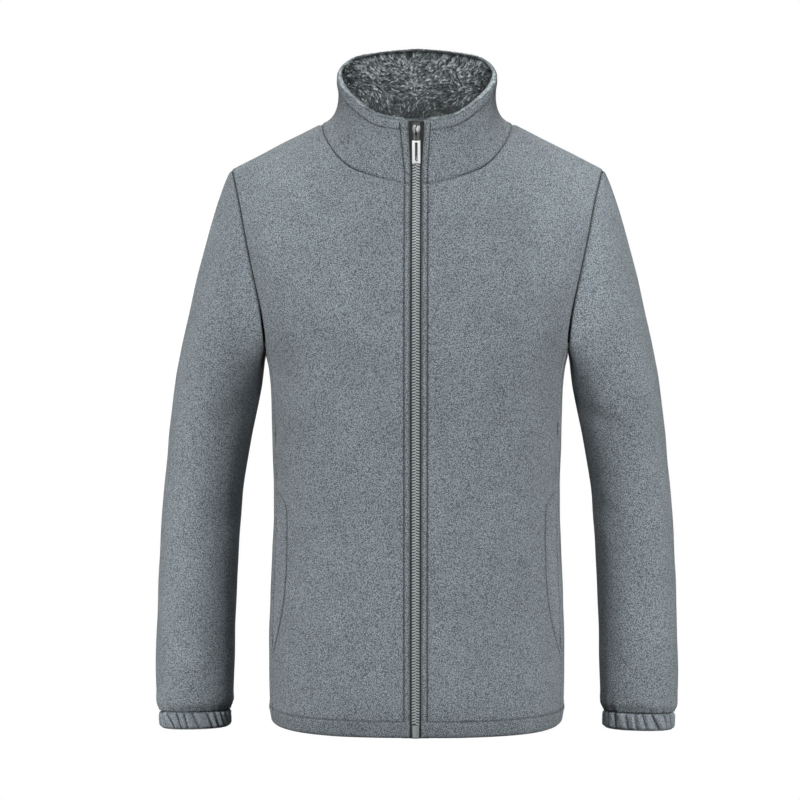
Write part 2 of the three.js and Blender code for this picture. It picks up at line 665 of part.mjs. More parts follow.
// A strip about the zip's middle between two depths behind the front's surface
function zipStrip(halfWidth, depth, thick, rows) {
  const grid = (behind) => rows.map((row) => [-halfWidth, halfWidth].map((x) => (
    row.middle.p.clone().addScaledVector(row.middle.n, -behind).setX(x))));
  return wall(grid(depth), grid(depth + thick));
}
const tape = { from: 3.5, spread: 3, depth: clothThick + 0.5, thick: 1, bottom: hemZ + 1 };
const chain = { halfWidth: 3.2, depth: 2.3, thick: 2.6 };
const zipBox = { halfWidth: 3.2, height: 13, depth: 1.6, thick: 3.8 };
const slider = { top: -2.5, length: 17, halfWidth: 5.6, plate: 1.2, postHalfWidth: 1.1 };
// The tape lies behind the front and the collar, and shows between their edge and the teeth
function zipTape() {
  const grid = (behind) => zipRows.map((row, r) => {
    const line = row.beside.map(({ p, n }) => p.clone().addScaledVector(n, -behind));
    const inner = tape.from + tape.spread * row.spread;
    const free = line[0].clone().lerp(line[1], (inner - line[0].x) / (line[1].x - line[0].x));
    const points = [free, ...line];
    return r ? points : points.map((p) => p.setZ(tape.bottom));
  });
  return wall(grid(tape.depth), grid(tape.depth + tape.thick));
}
const boxTop = tape.bottom + zipBox.height;
const box = zipStrip(zipBox.halfWidth, zipBox.depth, zipBox.thick, zipStretch(tape.bottom, boxTop));
const sliderBottom = slider.top - slider.length;
const chainTop = slider.top - slider.length / 2;
const teeth = zipStrip(chain.halfWidth, chain.depth, chain.thick, zipStretch(boxTop + seamGap, chainTop));

// Slider and pull tab are built upright at the slider's middle and leaned with the collar
const sliderSpot = zipStretch(sliderBottom + slider.length / 2, 0)[0].middle;
const lean = -Math.atan2(sliderSpot.n.z, -sliderSpot.n.y);
const block = (x0, x1, y0, y1, z0, z1) => new THREE.BoxGeometry(x1 - x0, y1 - y0, z1 - z0)
  .translate((x0 + x1) / 2, (y0 + y1) / 2, (z0 + z1) / 2);
// A plate in the upright plane from an outline of [x, z] points
function plate(outline, y0, y1, windows = []) {
  const shape = new THREE.Shape(outline.map(([x, z]) => new THREE.Vector2(x, z)));
  for (const hole of windows) shape.holes.push(new THREE.Path(hole.map(([x, z]) => new THREE.Vector2(x, z))));
  const made = new THREE.ExtrudeGeometry(shape, { depth: y1 - y0, bevelEnabled: false });
  return made.rotateX(Math.PI / 2).translate(0, y1, 0);
}
const rect = (halfWidth, z0, z1) => [[-halfWidth, z0], [halfWidth, z0], [halfWidth, z1], [-halfWidth, z1]];
const halfLength = slider.length / 2;
const shield = [
  [-0.72 * slider.halfWidth, -halfLength],
  [0.72 * slider.halfWidth, -halfLength],
  [0.8 * slider.halfWidth, 0],
  [slider.halfWidth, 0.55 * halfLength],
  [0.62 * slider.halfWidth, halfLength],
  [-0.62 * slider.halfWidth, halfLength],
  [-slider.halfWidth, 0.55 * halfLength],
  [-0.8 * slider.halfWidth, 0],
];
const sliderSet = 0.4;
const frontPlateY = chain.depth - sliderSet - slider.plate;
const backPlateY = chain.depth + chain.thick + seamGap;
const crown = { halfWidth: 1.2, rise: 4, bar: 1, top: 6.5, bottom: -3 };
function sliderBody() {
  const half = slider.postHalfWidth;
  const post = block(-half, half, frontPlateY + 0.2, backPlateY + 0.2, 0.3 * halfLength, halfLength);
  const crownOutline = new THREE.Shape([
    [0.1, crown.bottom], [0.1, crown.top], [-crown.rise + 1, crown.top],
    [-crown.rise, crown.top - 1.2], [-crown.rise, crown.bottom + 1.2], [-crown.rise + 1, crown.bottom],
  ].map(([y, z]) => new THREE.Vector2(y, z)));
  const inset = crown.bar;
  crownOutline.holes.push(new THREE.Path([
    [-0.05, crown.bottom + inset], [-crown.rise + inset, crown.bottom + inset + 0.4],
    [-crown.rise + inset, crown.top - inset - 0.4], [-0.05, crown.top - inset],
  ].map(([y, z]) => new THREE.Vector2(y, z))));
  const arch = new THREE.ExtrudeGeometry(crownOutline, { depth: 2 * crown.halfWidth, bevelEnabled: false });
  // The outline's plane is turned from XY to YZ
  const upright = new THREE.Matrix4().set(0, 0, 1, -crown.halfWidth, 1, 0, 0, frontPlateY, 0, 1, 0, 0, 0, 0, 0, 1);
  arch.applyMatrix4(upright);
  return joined(
    plate(shield, frontPlateY, frontPlateY + slider.plate),
    plate(shield, backPlateY, backPlateY + slider.plate),
    post,
    arch,
  );
}
const pull = { thick: 1.5, linkHalfWidth: 3.1, linkLength: 9.5, halfWidth: 4.7, length: 25.5, bar: 1.3, slot: 1 };
const pivotY = frontPlateY - 1.6;
const pivotZ = 0.5;
const pullTilt = -3.4;
function pullTab() {
  const [y0, y1] = [-pull.thick / 2, pull.thick / 2];
  const neckZ = -pull.linkLength;
  const window = rect(pull.linkHalfWidth - pull.bar, neckZ + 1.6, -0.75);
  const link = plate(rect(pull.linkHalfWidth, neckZ - 0.5, 0.75), y0, y1, [window]);
  const endZ = neckZ - pull.length;
  const corner = 1.1;
  const tabOutline = [
    [-pull.halfWidth + corner, endZ], [pull.halfWidth - corner, endZ], [pull.halfWidth, endZ + corner],
    [pull.halfWidth, neckZ - corner], [pull.halfWidth - corner, neckZ], [-pull.halfWidth + corner, neckZ],
    [-pull.halfWidth, neckZ - corner], [-pull.halfWidth, endZ + corner],
  ];
  const tab = plate(tabOutline, y0, y1, [rect(pull.slot, endZ + 2.2, neckZ - 2.2)]);
  return joined(link, tab);
}

const finish = (color, roughness, metalness = 0) => new THREE.MeshStandardMaterial({ color, roughness, metalness });
const finishes = {
  fleece: finish(0x7c868a, 0.95),
  plush: finish(0x6f787b, 1),
  tape: finish(0x4b5356, 0.85),
  resin: finish(0x8b9394, 0.55),
  black: finish(0x1b1d1f, 0.4, 0.4),
  metal: finish(0xb9bcbd, 0.3, 0.9),
};

const jacket = new THREE.Group();
function add(name, geometry, material, holder = jacket) {
  const mesh = new THREE.Mesh(geometry, material);
  mesh.name = name;
  holder.add(mesh);
}
function addPair(name, geometry, material) {
  add(`${name}_left`, geometry, material);
  add(`${name}_right`, mirrored(geometry), material);
}
addPair("front", frontLeft, finishes.fleece);
add("back", back, finishes.fleece);
addPair("sleeve", sleeve(), finishes.fleece);
addPair("cuff", sleeveCuff(), finishes.fleece);
add("collar", collar, finishes.fleece);
add("collar_lining", collarLining(), finishes.plush);
addPair("pocket_facing", pocketFacing(), finishes.fleece);
addPair("zip_tape", zipTape(), finishes.tape);
add("zip_chain", teeth, finishes.resin);
add("zip_box", box, finishes.resin);

const leaning = new THREE.Group();
leaning.position.copy(sliderSpot.p);
leaning.rotation.x = lean;
jacket.add(leaning);
add("zip_slider", sliderBody(), finishes.black, leaning);
const hanging = new THREE.Group();
// The pull tab hangs from the slider's arch with its lower end resting just clear of the teeth
hanging.position.set(0, pivotY, pivotZ);
hanging.rotation.x = degToRad(pullTilt) - lean;
leaning.add(hanging);
add("zip_pull", pullTab(), finishes.metal, hanging);

export default jacket;
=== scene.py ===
import math

import bpy
import numpy as np
from mathutils import Euler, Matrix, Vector
from mathutils.kdtree import KDTree


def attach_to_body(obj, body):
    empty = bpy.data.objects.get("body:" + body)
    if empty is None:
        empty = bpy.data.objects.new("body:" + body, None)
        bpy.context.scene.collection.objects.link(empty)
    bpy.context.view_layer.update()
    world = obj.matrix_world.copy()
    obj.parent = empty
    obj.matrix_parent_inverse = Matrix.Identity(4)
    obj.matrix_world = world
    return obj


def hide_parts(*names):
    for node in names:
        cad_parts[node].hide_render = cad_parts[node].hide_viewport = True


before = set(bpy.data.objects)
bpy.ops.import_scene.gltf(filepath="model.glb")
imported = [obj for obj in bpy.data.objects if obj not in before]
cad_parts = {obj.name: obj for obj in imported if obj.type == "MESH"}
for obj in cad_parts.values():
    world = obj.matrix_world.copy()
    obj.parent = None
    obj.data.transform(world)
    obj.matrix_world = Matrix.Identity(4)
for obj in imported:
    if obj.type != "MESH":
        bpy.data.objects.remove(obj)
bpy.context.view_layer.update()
chance = np.random.default_rng(11)
mm = 0.001
print("frame loaded")


# Camera at the photograph's place: a little above the chest, tilted down to the belly
cameraSet = {
    "distance": 2.8,
    "turn": 1.0,             # degrees round the jacket, towards its left side
    "height": -0.150,
    "aim": (-0.0195, 0.0, -0.314),
    "lens": 109.4,
}
turn = math.radians(cameraSet["turn"])
shift = cameraSet["aim"][0]
cameraSpot = Vector((shift + math.sin(turn) * cameraSet["distance"], -math.cos(turn) * cameraSet["distance"],
                     cameraSet["height"]))
bpy.ops.object.camera_add(location=cameraSpot)
camera = bpy.context.object
camera.data.lens = cameraSet["lens"]
camera.data.clip_end = 50
camera.rotation_euler = (Vector(cameraSet["aim"]) - cameraSpot).to_track_quat("-Z", "Y").to_euler()
bpy.context.scene.camera = camera
bpy.context.scene.view_settings.view_transform = "Standard"


# Studio: gridded strip lights, one on the body and one on the outer half of each sleeve, so that the sleeves
# turn dark towards the body; a top light for the collar and one behind
studio = {
    "bodyBox": {"at": (0.02, -2.0, 0.62), "aim": (0.01, -0.08, -0.29),
                "wide": 0.385, "tall": 0.78, "spread": 4, "power": 1.6},
    "leftBox": {"at": (1.08, -1.58, 0.5), "aim": (0.255, 0.0, -0.40),
                "wide": 0.18, "tall": 0.80, "spread": 8, "power": 0.96},
    "rightBox": {"at": (-1.08, -1.58, 0.5), "aim": (-0.255, 0.0, -0.40),
                 "wide": 0.18, "tall": 0.80, "spread": 8, "power": 1.0},
    "frontBox": {"at": (0.0, -3.3, 0.7), "aim": (0, 0, -0.3),
                 "wide": 2.0, "tall": 1.4, "spread": 150, "power": 6},
    "topBox": {"at": (0.0, -0.5, 1.6), "aim": (0, 0, 0),
               "wide": 0.8, "tall": 0.6, "spread": 120, "power": 1.2},
    "backBox": {"at": (0.0, 2.6, 0.7), "aim": (0, 0, -0.33),
                "wide": 0.9, "tall": 1.6, "spread": 120, "power": 42},
    "ambient": 0.05,
    "backdrop": 1.0,
}


def addLight(name, at, aim, wide, tall, spread, power):
    bpy.ops.object.light_add(type="AREA", location=at)
    lamp = bpy.context.object
    lamp.name = name
    lamp.data.shape = "RECTANGLE"
    lamp.data.size = wide
    lamp.data.size_y = tall
    lamp.data.spread = math.radians(spread)
    lamp.data.energy = power
    lamp.rotation_euler = (Vector(aim) - Vector(at)).to_track_quat("-Z", "Y").to_euler()


for name in ("bodyBox", "leftBox", "rightBox", "frontBox", "topBox", "backBox"):
    addLight(name, **studio[name])
world = bpy.data.worlds.new("studioWorld")
bpy.context.scene.world = world
world.use_nodes = True
nodes, links = world.node_tree.nodes, world.node_tree.links
path = nodes.new("ShaderNodeLightPath")
seen = nodes.new("ShaderNodeMix")
seen.inputs["A"].default_value = studio["ambient"]
seen.inputs["B"].default_value = studio["backdrop"]
links.new(path.outputs["Is Camera Ray"], seen.inputs["Factor"])
nodes["Background"].inputs["Color"].default_value = (1, 1, 1, 1)
links.new(seen.outputs[0], nodes["Background"].inputs["Strength"])
print("camera and studio placed")


# Finishes, with grain sizes in millimetres; low is painted shade for the hollows of the grain and the weave
finishes = {
    "fleece": {"base": (0.270, 0.308, 0.334), "low": (0.066, 0.076, 0.083), "pebble": 1.08,
              "fibre": 0.48, "rise": 0.45, "sheen": 0.10},
    "band": {"base": (0.234, 0.268, 0.290), "low": (0.084, 0.097, 0.105), "pebble": 1.0,
             "fibre": 0.45, "rise": 0.3, "sheen": 0.08},
    "plushBack": {"base": (0.125, 0.146, 0.153), "low": (0.040, 0.048, 0.052), "pebble": 3.2, "fibre": 0.8,
                  "rise": 1.2, "sheen": 0.1},
    # pile: dark paints the shade at the strands' roots
    "pile": {"dark": (0.006, 0.008, 0.009), "light": (0.56, 0.635, 0.655), "sheen": 0.0},
    "tape": {"base": (0.072, 0.086, 0.091), "low": (0.028, 0.034, 0.037), "rib": 0.8},
    "resin": {"base": (0.245, 0.279, 0.289), "rough": 0.66},
    "foot": {"base": (0.165, 0.189, 0.198), "rough": 0.6},
    "thread": {"base": (0.045, 0.055, 0.060)},
    "enamel": {"base": (0.005, 0.006, 0.007), "rough": 0.36},
    "nickel": {"base": (0.36, 0.37, 0.37), "rough": 0.55},
}


def startMaterial(name):
    made = bpy.data.materials.new(name)
    made.use_nodes = True
    return made, made.node_tree.nodes, made.node_tree.links


def colour(rgb):
    return (*rgb, 1)


# Grain of a brushed cloth: pebbles, fibres and a broad mottling
def makeClothGrain():
    group = bpy.data.node_groups.new("clothGrain", "ShaderNodeTree")
    face = group.interface
    face.new_socket("Place", in_out="INPUT", socket_type="NodeSocketVector")
    for name in ("Base", "Low"):
        face.new_socket(name, in_out="INPUT", socket_type="NodeSocketColor")
    for name in ("Pebble Scale", "Fibre Scale", "Rise", "Painted Shade"):
        face.new_socket(name, in_out="INPUT", socket_type="NodeSocketFloat")
    face.new_socket("Colour", in_out="OUTPUT", socket_type="NodeSocketColor")
    face.new_socket("Roughness", in_out="OUTPUT", socket_type="NodeSocketFloat")
    face.new_socket("Normal", in_out="OUTPUT", socket_type="NodeSocketVector")
    n, l = group.nodes, group.links
    start, end = n.new("NodeGroupInput"), n.new("NodeGroupOutput")
    warp = n.new("ShaderNodeTexNoise")
    warp.inputs["Scale"].default_value = 1000
    warp.inputs["Detail"].default_value = 1
    bend = n.new("ShaderNodeVectorMath")
    bend.operation = "MULTIPLY_ADD"
    bend.inputs[1].default_value = (0.0006, 0.0006, 0.0006)
    pebble = n.new("ShaderNodeTexVoronoi")
    pebble.feature = "SMOOTH_F1"
    pebble.inputs["Smoothness"].default_value = 0.6
    fibre = n.new("ShaderNodeTexNoise")
    fibre.inputs["Detail"].default_value = 3
    fibre.inputs["Roughness"].default_value = 0.65
    broad = n.new("ShaderNodeTexNoise")
    broad.inputs["Scale"].default_value = 22
    broad.inputs["Detail"].default_value = 3
    l.new(start.outputs["Place"], warp.inputs["Vector"])
    l.new(warp.outputs["Color"], bend.inputs[0])
    l.new(start.outputs["Place"], bend.inputs[2])
    l.new(bend.outputs[0], pebble.inputs["Vector"])
    l.new(start.outputs["Pebble Scale"], pebble.inputs["Scale"])
    l.new(start.outputs["Place"], fibre.inputs["Vector"])
    l.new(start.outputs["Fibre Scale"], fibre.inputs["Scale"])
    l.new(start.outputs["Place"], broad.inputs["Vector"])
    hill = n.new("ShaderNodeMapRange")          # 1 on a pebble's top, 0 between them
    hill.inputs["From Min"].default_value = 0.62
    hill.inputs["From Max"].default_value = 0.08
    l.new(pebble.outputs["Distance"], hill.inputs["Value"])
    both = n.new("ShaderNodeMath")
    both.operation = "MULTIPLY_ADD"
    both.inputs[1].default_value = 0.75
    l.new(fibre.outputs["Fac"], both.inputs[0])
    l.new(hill.outputs["Result"], both.inputs[2])
    light = n.new("ShaderNodeMapRange")
    light.inputs["From Min"].default_value = 0.38
    light.inputs["From Max"].default_value = 1.22
    l.new(both.outputs[0], light.inputs["Value"])
    # painted shade: the cloth is painted darker between the pebbles, in the bump's hollows, and lighter on their
    # tops;
    # the fibre noise and the broad mottling vary the tone at random
    mixed = n.new("ShaderNodeMix")
    mixed.data_type = "RGBA"
    l.new(light.outputs["Result"], mixed.inputs["Factor"])
    l.new(start.outputs["Low"], mixed.inputs["A"])
    l.new(start.outputs["Base"], mixed.inputs["B"])
    mottle = n.new("ShaderNodeMapRange")
    mottle.inputs["From Min"].default_value = 0.3
    mottle.inputs["From Max"].default_value = 0.7
    mottle.inputs["To Min"].default_value = 0.93
    mottle.inputs["To Max"].default_value = 1.07
    l.new(broad.outputs["Fac"], mottle.inputs["Value"])
    toned = n.new("ShaderNodeVectorMath")
    toned.operation = "SCALE"
    l.new(mixed.outputs["Result"], toned.inputs[0])
    shadeDarkening = n.new("ShaderNodeMath")           # painted shade: cloth in a seam, in a row of stitches, in a crease or in a gap is painted darker
    shadeDarkening.operation = "MULTIPLY_ADD"
    shadeDarkening.inputs[1].default_value = -0.9
    shadeDarkening.inputs[2].default_value = 1.0
    darker = n.new("ShaderNodeMath")
    darker.operation = "MULTIPLY"
    l.new(start.outputs["Painted Shade"], shadeDarkening.inputs[0])
    l.new(shadeDarkening.outputs[0], darker.inputs[0])
    l.new(mottle.outputs["Result"], darker.inputs[1])
    l.new(darker.outputs[0], toned.inputs["Scale"])
    rough = n.new("ShaderNodeMapRange")
    rough.inputs["To Min"].default_value = 1.0
    rough.inputs["To Max"].default_value = 0.86
    l.new(light.outputs["Result"], rough.inputs["Value"])
    bump = n.new("ShaderNodeBump")
    bump.inputs["Strength"].default_value = 1.0
    l.new(start.outputs["Rise"], bump.inputs["Distance"])
    l.new(both.outputs[0], bump.inputs["Height"])
    l.new(toned.outputs[0], end.inputs["Colour"])
    l.new(rough.outputs["Result"], end.inputs["Roughness"])
    l.new(bump.outputs["Normal"], end.inputs["Normal"])
    return group


clothGrain = makeClothGrain()


def makeCloth(name, finish):
    made, n, l = startMaterial(name)
    place = n.new("ShaderNodeTexCoord")
    grain = n.new("ShaderNodeGroup")
    grain.node_tree = clothGrain
    grain.inputs["Base"].default_value = colour(finish["base"])
    grain.inputs["Low"].default_value = colour(finish["low"])
    grain.inputs["Pebble Scale"].default_value = 1000 / finish["pebble"]
    grain.inputs["Fibre Scale"].default_value = 1000 / finish["fibre"]
    grain.inputs["Rise"].default_value = finish["rise"] * mm
    shader = n["Principled BSDF"]
    shader.inputs["Sheen Weight"].default_value = finish["sheen"]
    shader.inputs["Sheen Roughness"].default_value = 0.45
    shader.inputs["Specular IOR Level"].default_value = 0.08
    # painted shade of seams, grooves, creases and gaps, kept on the points of each piece
    paintedShade = n.new("ShaderNodeAttribute")
    paintedShade.attribute_name = "paintedShade"
    l.new(paintedShade.outputs["Fac"], grain.inputs["Painted Shade"])
    l.new(place.outputs["Object"], grain.inputs["Place"])
    l.new(grain.outputs["Colour"], shader.inputs["Base Color"])
    l.new(grain.outputs["Roughness"], shader.inputs["Roughness"])
    l.new(grain.outputs["Normal"], shader.inputs["Normal"])
    return made


# Pile: each strand is painted darker to its root as shade, by the value kept on its points
def makePile(finish):
    made, n, l = startMaterial("pile")
    tone = n.new("ShaderNodeAttribute")
    tone.attribute_name = "tone"
    mixed = n.new("ShaderNodeMix")
    mixed.data_type = "RGBA"
    mixed.inputs["A"].default_value = colour(finish["dark"])
    mixed.inputs["B"].default_value = colour(finish["light"])
    shader = n["Principled BSDF"]
    shader.inputs["Sheen Weight"].default_value = finish["sheen"]
    shader.inputs["Specular IOR Level"].default_value = 0.25
    shader.inputs["Roughness"].default_value = 0.72
    l.new(tone.outputs["Fac"], mixed.inputs["Factor"])
    l.new(mixed.outputs["Result"], shader.inputs["Base Color"])
    return made


# Woven tape: ribs across it, from its own map in metres
def makeTape(finish):
    made, n, l = startMaterial("tape")
    place = n.new("ShaderNodeUVMap")
    place.uv_map = "cloth"
    ribs = n.new("ShaderNodeTexWave")
    ribs.bands_direction = "Y"
    ribs.inputs["Scale"].default_value = 314 / finish["rib"] / 2
    ribs.inputs["Distortion"].default_value = 0.6
    warp = n.new("ShaderNodeTexWave")
    warp.bands_direction = "X"
    warp.inputs["Scale"].default_value = 314 / finish["rib"]
    weave = n.new("ShaderNodeMath")
    weave.operation = "MULTIPLY"
    # painted shade: the tape is painted darker in the hollows of its weave, where the bump dips
    mixed = n.new("ShaderNodeMix")
    mixed.data_type = "RGBA"
    mixed.inputs["A"].default_value = colour(finish["low"])
    mixed.inputs["B"].default_value = colour(finish["base"])
    bump = n.new("ShaderNodeBump")
    bump.inputs["Distance"].default_value = 0.2 * mm
    shader = n["Principled BSDF"]
    shader.inputs["Roughness"].default_value = 0.85
    shader.inputs["Sheen Weight"].default_value = 0.1
    paintedShade = n.new("ShaderNodeAttribute")        # painted shade: 1 where the fronts and the slider keep the light off
    paintedShade.attribute_name = "paintedShade"
    shade = n.new("ShaderNodeMath")
    shade.operation = "MULTIPLY_ADD"
    shade.inputs[1].default_value = -0.92
    shade.inputs[2].default_value = 1.0
    shaded = n.new("ShaderNodeVectorMath")
    shaded.operation = "SCALE"
    l.new(paintedShade.outputs["Fac"], shade.inputs[0])
    l.new(shade.outputs[0], shaded.inputs["Scale"])
    l.new(mixed.outputs["Result"], shaded.inputs[0])
    for wave in (ribs, warp):
        l.new(place.outputs["UV"], wave.inputs["Vector"])
    l.new(ribs.outputs["Fac"], weave.inputs[0])
    l.new(warp.outputs["Fac"], weave.inputs[1])
    l.new(weave.outputs[0], mixed.inputs["Factor"])
    l.new(weave.outputs[0], bump.inputs["Height"])
    l.new(shaded.outputs[0], shader.inputs["Base Color"])
    l.new(bump.outputs["Normal"], shader.inputs["Normal"])
    return made


# Hard finishes: fine scuffs in roughness and bump
def makeHard(name, finish, metal=0.0, scuff=700, wear=0.12):
    made, n, l = startMaterial(name)
    place = n.new("ShaderNodeTexCoord")
    marks = n.new("ShaderNodeTexNoise")
    marks.inputs["Scale"].default_value = scuff
    marks.inputs["Detail"].default_value = 4
    rough = n.new("ShaderNodeMapRange")
    rough.inputs["To Min"].default_value = finish["rough"] - wear
    rough.inputs["To Max"].default_value = finish["rough"] + wear
    mixed = n.new("ShaderNodeMix")
    mixed.data_type = "RGBA"
    mixed.inputs["A"].default_value = colour(tuple(0.82 * v for v in finish["base"]))
    mixed.inputs["B"].default_value = colour(tuple(1.12 * v for v in finish["base"]))
    bump = n.new("ShaderNodeBump")
    bump.inputs["Distance"].default_value = 0.03 * mm
    shader = n["Principled BSDF"]
    shader.inputs["Metallic"].default_value = metal
    l.new(place.outputs["Object"], marks.inputs["Vector"])
    l.new(marks.outputs["Fac"], rough.inputs["Value"])
    l.new(marks.outputs["Fac"], mixed.inputs["Factor"])
    l.new(marks.outputs["Fac"], bump.inputs["Height"])
    l.new(mixed.outputs["Result"], shader.inputs["Base Color"])
    l.new(rough.outputs["Result"], shader.inputs["Roughness"])
    l.new(bump.outputs["Normal"], shader.inputs["Normal"])
    return made


# Thread: two plies wound round each other
def makeThread(finish):
    made, n, l = startMaterial("thread")
    place = n.new("ShaderNodeTexCoord")
    ply = n.new("ShaderNodeTexNoise")
    ply.inputs["Scale"].default_value = 2500
    mixed = n.new("ShaderNodeMix")
    mixed.data_type = "RGBA"
    mixed.inputs["A"].default_value = colour(tuple(0.7 * v for v in finish["base"]))
    mixed.inputs["B"].default_value = colour(tuple(1.2 * v for v in finish["base"]))
    shader = n["Principled BSDF"]
    shader.inputs["Roughness"].default_value = 0.6
    shader.inputs["Sheen Weight"].default_value = 0.2
    l.new(place.outputs["Object"], ply.inputs["Vector"])
    l.new(ply.outputs["Fac"], mixed.inputs["Factor"])
    l.new(mixed.outputs["Result"], shader.inputs["Base Color"])
    return made


fleece = makeCloth("fleece", finishes["fleece"])
band = makeCloth("band", finishes["band"])
plushBack = makeCloth("plushBack", finishes["plushBack"])
pile = makePile(finishes["pile"])
tapeWeave = makeTape(finishes["tape"])
resin = makeHard("resin", finishes["resin"])
footResin = makeHard("foot", finishes["foot"])
thread = makeThread(finishes["thread"])
enamel = makeHard("enamel", finishes["enamel"], scuff=500, wear=0.08)
nickel = makeHard("nickel", finishes["nickel"], metal=0.25, scuff=900, wear=0.07)
print("finishes made")


def attach(piece, material, nodeNames=(), body="jacket"):
    piece.data.materials.clear()
    piece.data.materials.append(material)
    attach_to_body(piece, body)
    if nodeNames:
        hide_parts(*nodeNames)
    return piece


# The cut of the jacket, in millimetres, as the solids have it
cut = {
    "cloth": 3.0, "hemZ": -682.5, "underarmZ": -259.0, "shoulderSlope": 0.505, "neckPointX": 109.0,
    "neckPointZ": 4.0, "shoulderY": 6.0, "shoulderWidening": 49.0, "frontSquare": 2.7, "backSquare": 2.3,
    "frontArch": 1.8, "backArch": 2.0, "sideSeam": 73.0, "zipEdge": 7.0,
}
bodySections = {
    "z": [-682.5, -664, -602, -545, -490, -430, -361, -319, -278, -259],
    "halfWidth": [167, 170, 170.6, 169, 166.5, 164.6, 166, 167, 169.6, 173.8],
    "front": [126, 127, 128, 128, 128, 129, 130, 131, 131, 131],
    "back": [114, 115, 113, 108, 103, 101, 105, 111, 116, 118],
}
frontArmhole = {
    "angle": [73, 68, 64.3, 63, 63.3, 65, 68.5, 71.4],
    "rise": [0.045, 0.108, 0.23, 0.45, 0.7, 0.84, 0.96, 1],
}
backArmhole = {
    "angle": [73, 80, 90, 99, 105, 109.5, 112, 112.5, 111.5, 109.9, 108.6],
    "rise": [0.045, 0.014, 0, 0.02, 0.07, 0.18, 0.4, 0.65, 0.83, 0.95, 1],
}
frontNeckline = {
    "x": [7, 22, 38, 57, 72, 86, 98, 106, 110],
    "rise": [0.654, 0.668, 0.688, 0.718, 0.75, 0.803, 0.875, 0.943, 1],
}
backNeckline = {"x": [0, 30, 60, 85, 102, 110], "rise": [0.925, 0.929, 0.941, 0.962, 0.985, 1]}
pocketMouth = {
    "z": [-600, -588, -564, -536, -508, -479, -441, -428, -420, -413],
    "angle": [73, 69.5, 64.5, 61, 60, 60, 61, 62, 66.5, 73],
}


def hermite(a, leave, b, arrive, t):
    t2, t3 = t * t, t * t * t
    return (2 * t3 - 3 * t2 + 1) * a + (t3 - 2 * t2 + t) * leave + (3 * t2 - 2 * t3) * b + (t3 - t2) * arrive


def readTable(table, key, at, column):
    k, v = np.array(table[key], float), np.array(table[column], float)
    if k[0] > k[-1]:
        k, v = k[::-1], v[::-1]
    slope = np.empty_like(v)
    slope[1:-1] = (v[2:] - v[:-2]) / (k[2:] - k[:-2])
    slope[0], slope[-1] = (v[1] - v[0]) / (k[1] - k[0]), (v[-1] - v[-2]) / (k[-1] - k[-2])
    at = np.clip(at, k[0], k[-1])
    i = np.clip(np.searchsorted(k, at, side="right") - 1, 0, len(k) - 2)
    span = k[i + 1] - k[i]
    return hermite(v[i], slope[i] * span, v[i + 1], slope[i + 1] * span, (at - k[i]) / span)


def ramp(x, low, high):
    t = np.clip((np.asarray(x, float) - low) / (high - low), 0, 1)
    return t * t * (3 - 2 * t)


def bell(distance, width):
    return np.exp(-((distance / width) ** 2))


def unit(v):
    return v / np.maximum(np.linalg.norm(v, axis=-1, keepdims=True), 1e-9)


def signedPower(base, exponent):
    return np.sign(base) * np.abs(base) ** exponent


def alongLine(points):
    return np.concatenate([[0], np.cumsum(np.linalg.norm(np.diff(points, axis=0), axis=1))])


def shoulderLine(x):
    out = np.abs(x) - cut["neckPointX"]
    level = cut["neckPointZ"] - cut["shoulderSlope"] * out
    return np.where(out > 0, level, level - cut["shoulderSlope"] * out * out / (2 * cut["neckPointX"]))


def riseOf(level):
    return np.sin(np.radians(90 * np.clip(level, 0, 1)))


def levelOf(rise):
    return np.degrees(np.arcsin(np.clip(rise, 0, 1))) / 90


def levelAtZ(z):
    return (z - cut["underarmZ"]) / (cut["underarmZ"] - cut["hemZ"])


def bodySize(level):
    rise = riseOf(level)
    z = cut["underarmZ"] + (cut["underarmZ"] - cut["hemZ"]) * np.clip(level, -1, 0)
    half, ahead, behind = (readTable(bodySections, "z", z, name) for name in ("halfWidth", "front", "back"))
    return z, half + cut["shoulderWidening"] * (1 - (1 - rise) ** 1.6), ahead, behind, rise


# Outer surface of the body: angle from the middle of the front to the middle of the back; level -1 at the hem,
# 0 at the underarm and 1 at the shoulder
def bodyPoint(angle, level):
    angle, level = np.broadcast_arrays(np.asarray(angle, float), np.asarray(level, float))
    z, half, ahead, behind, rise = bodySize(level)
    s, c = np.sin(np.radians(angle)), np.cos(np.radians(angle))
    facesFront = c > 0
    square = np.where(facesFront, cut["frontSquare"], cut["backSquare"])
    arch = np.where(facesFront, cut["frontArch"], cut["backArch"])
    x = half * signedPower(s, 2 / square)
    depth = np.where(facesFront, ahead, behind) * signedPower(-c, 2 / square)
    shrink = np.maximum(0, 1 - rise ** arch) ** (1 / arch)
    up = np.where(level > 0, cut["underarmZ"] + (shoulderLine(x) - cut["underarmZ"]) * rise, z)
    return np.stack([x, cut["shoulderY"] * rise + depth * shrink, up], -1)


def bodyOut(angle, level):
    angle, level = np.broadcast_arrays(np.asarray(angle, float), np.asarray(level, float))
    across = bodyPoint(angle + 0.4, level) - bodyPoint(angle - 0.4, level)
    up = bodyPoint(angle, np.minimum(level + 0.004, 1)) - bodyPoint(angle, np.maximum(level - 0.004, -1))
    top = unit(np.array([cut["shoulderSlope"], 0, 1.0]))
    nearTop = ramp(level, 0.975, 0.999)[..., None]
    return unit(unit(np.cross(across, up)) * (1 - nearTop) + top * nearTop)


def angleAtX(x, level):
    return np.degrees(np.arcsin(np.clip(x / bodySize(level)[1], 0, 1) ** (cut["frontSquare"] / 2)))


def backAngleAtX(x, level):
    return 180 - np.degrees(np.arcsin(np.clip(x / bodySize(level)[1], 0, 1) ** (cut["backSquare"] / 2)))


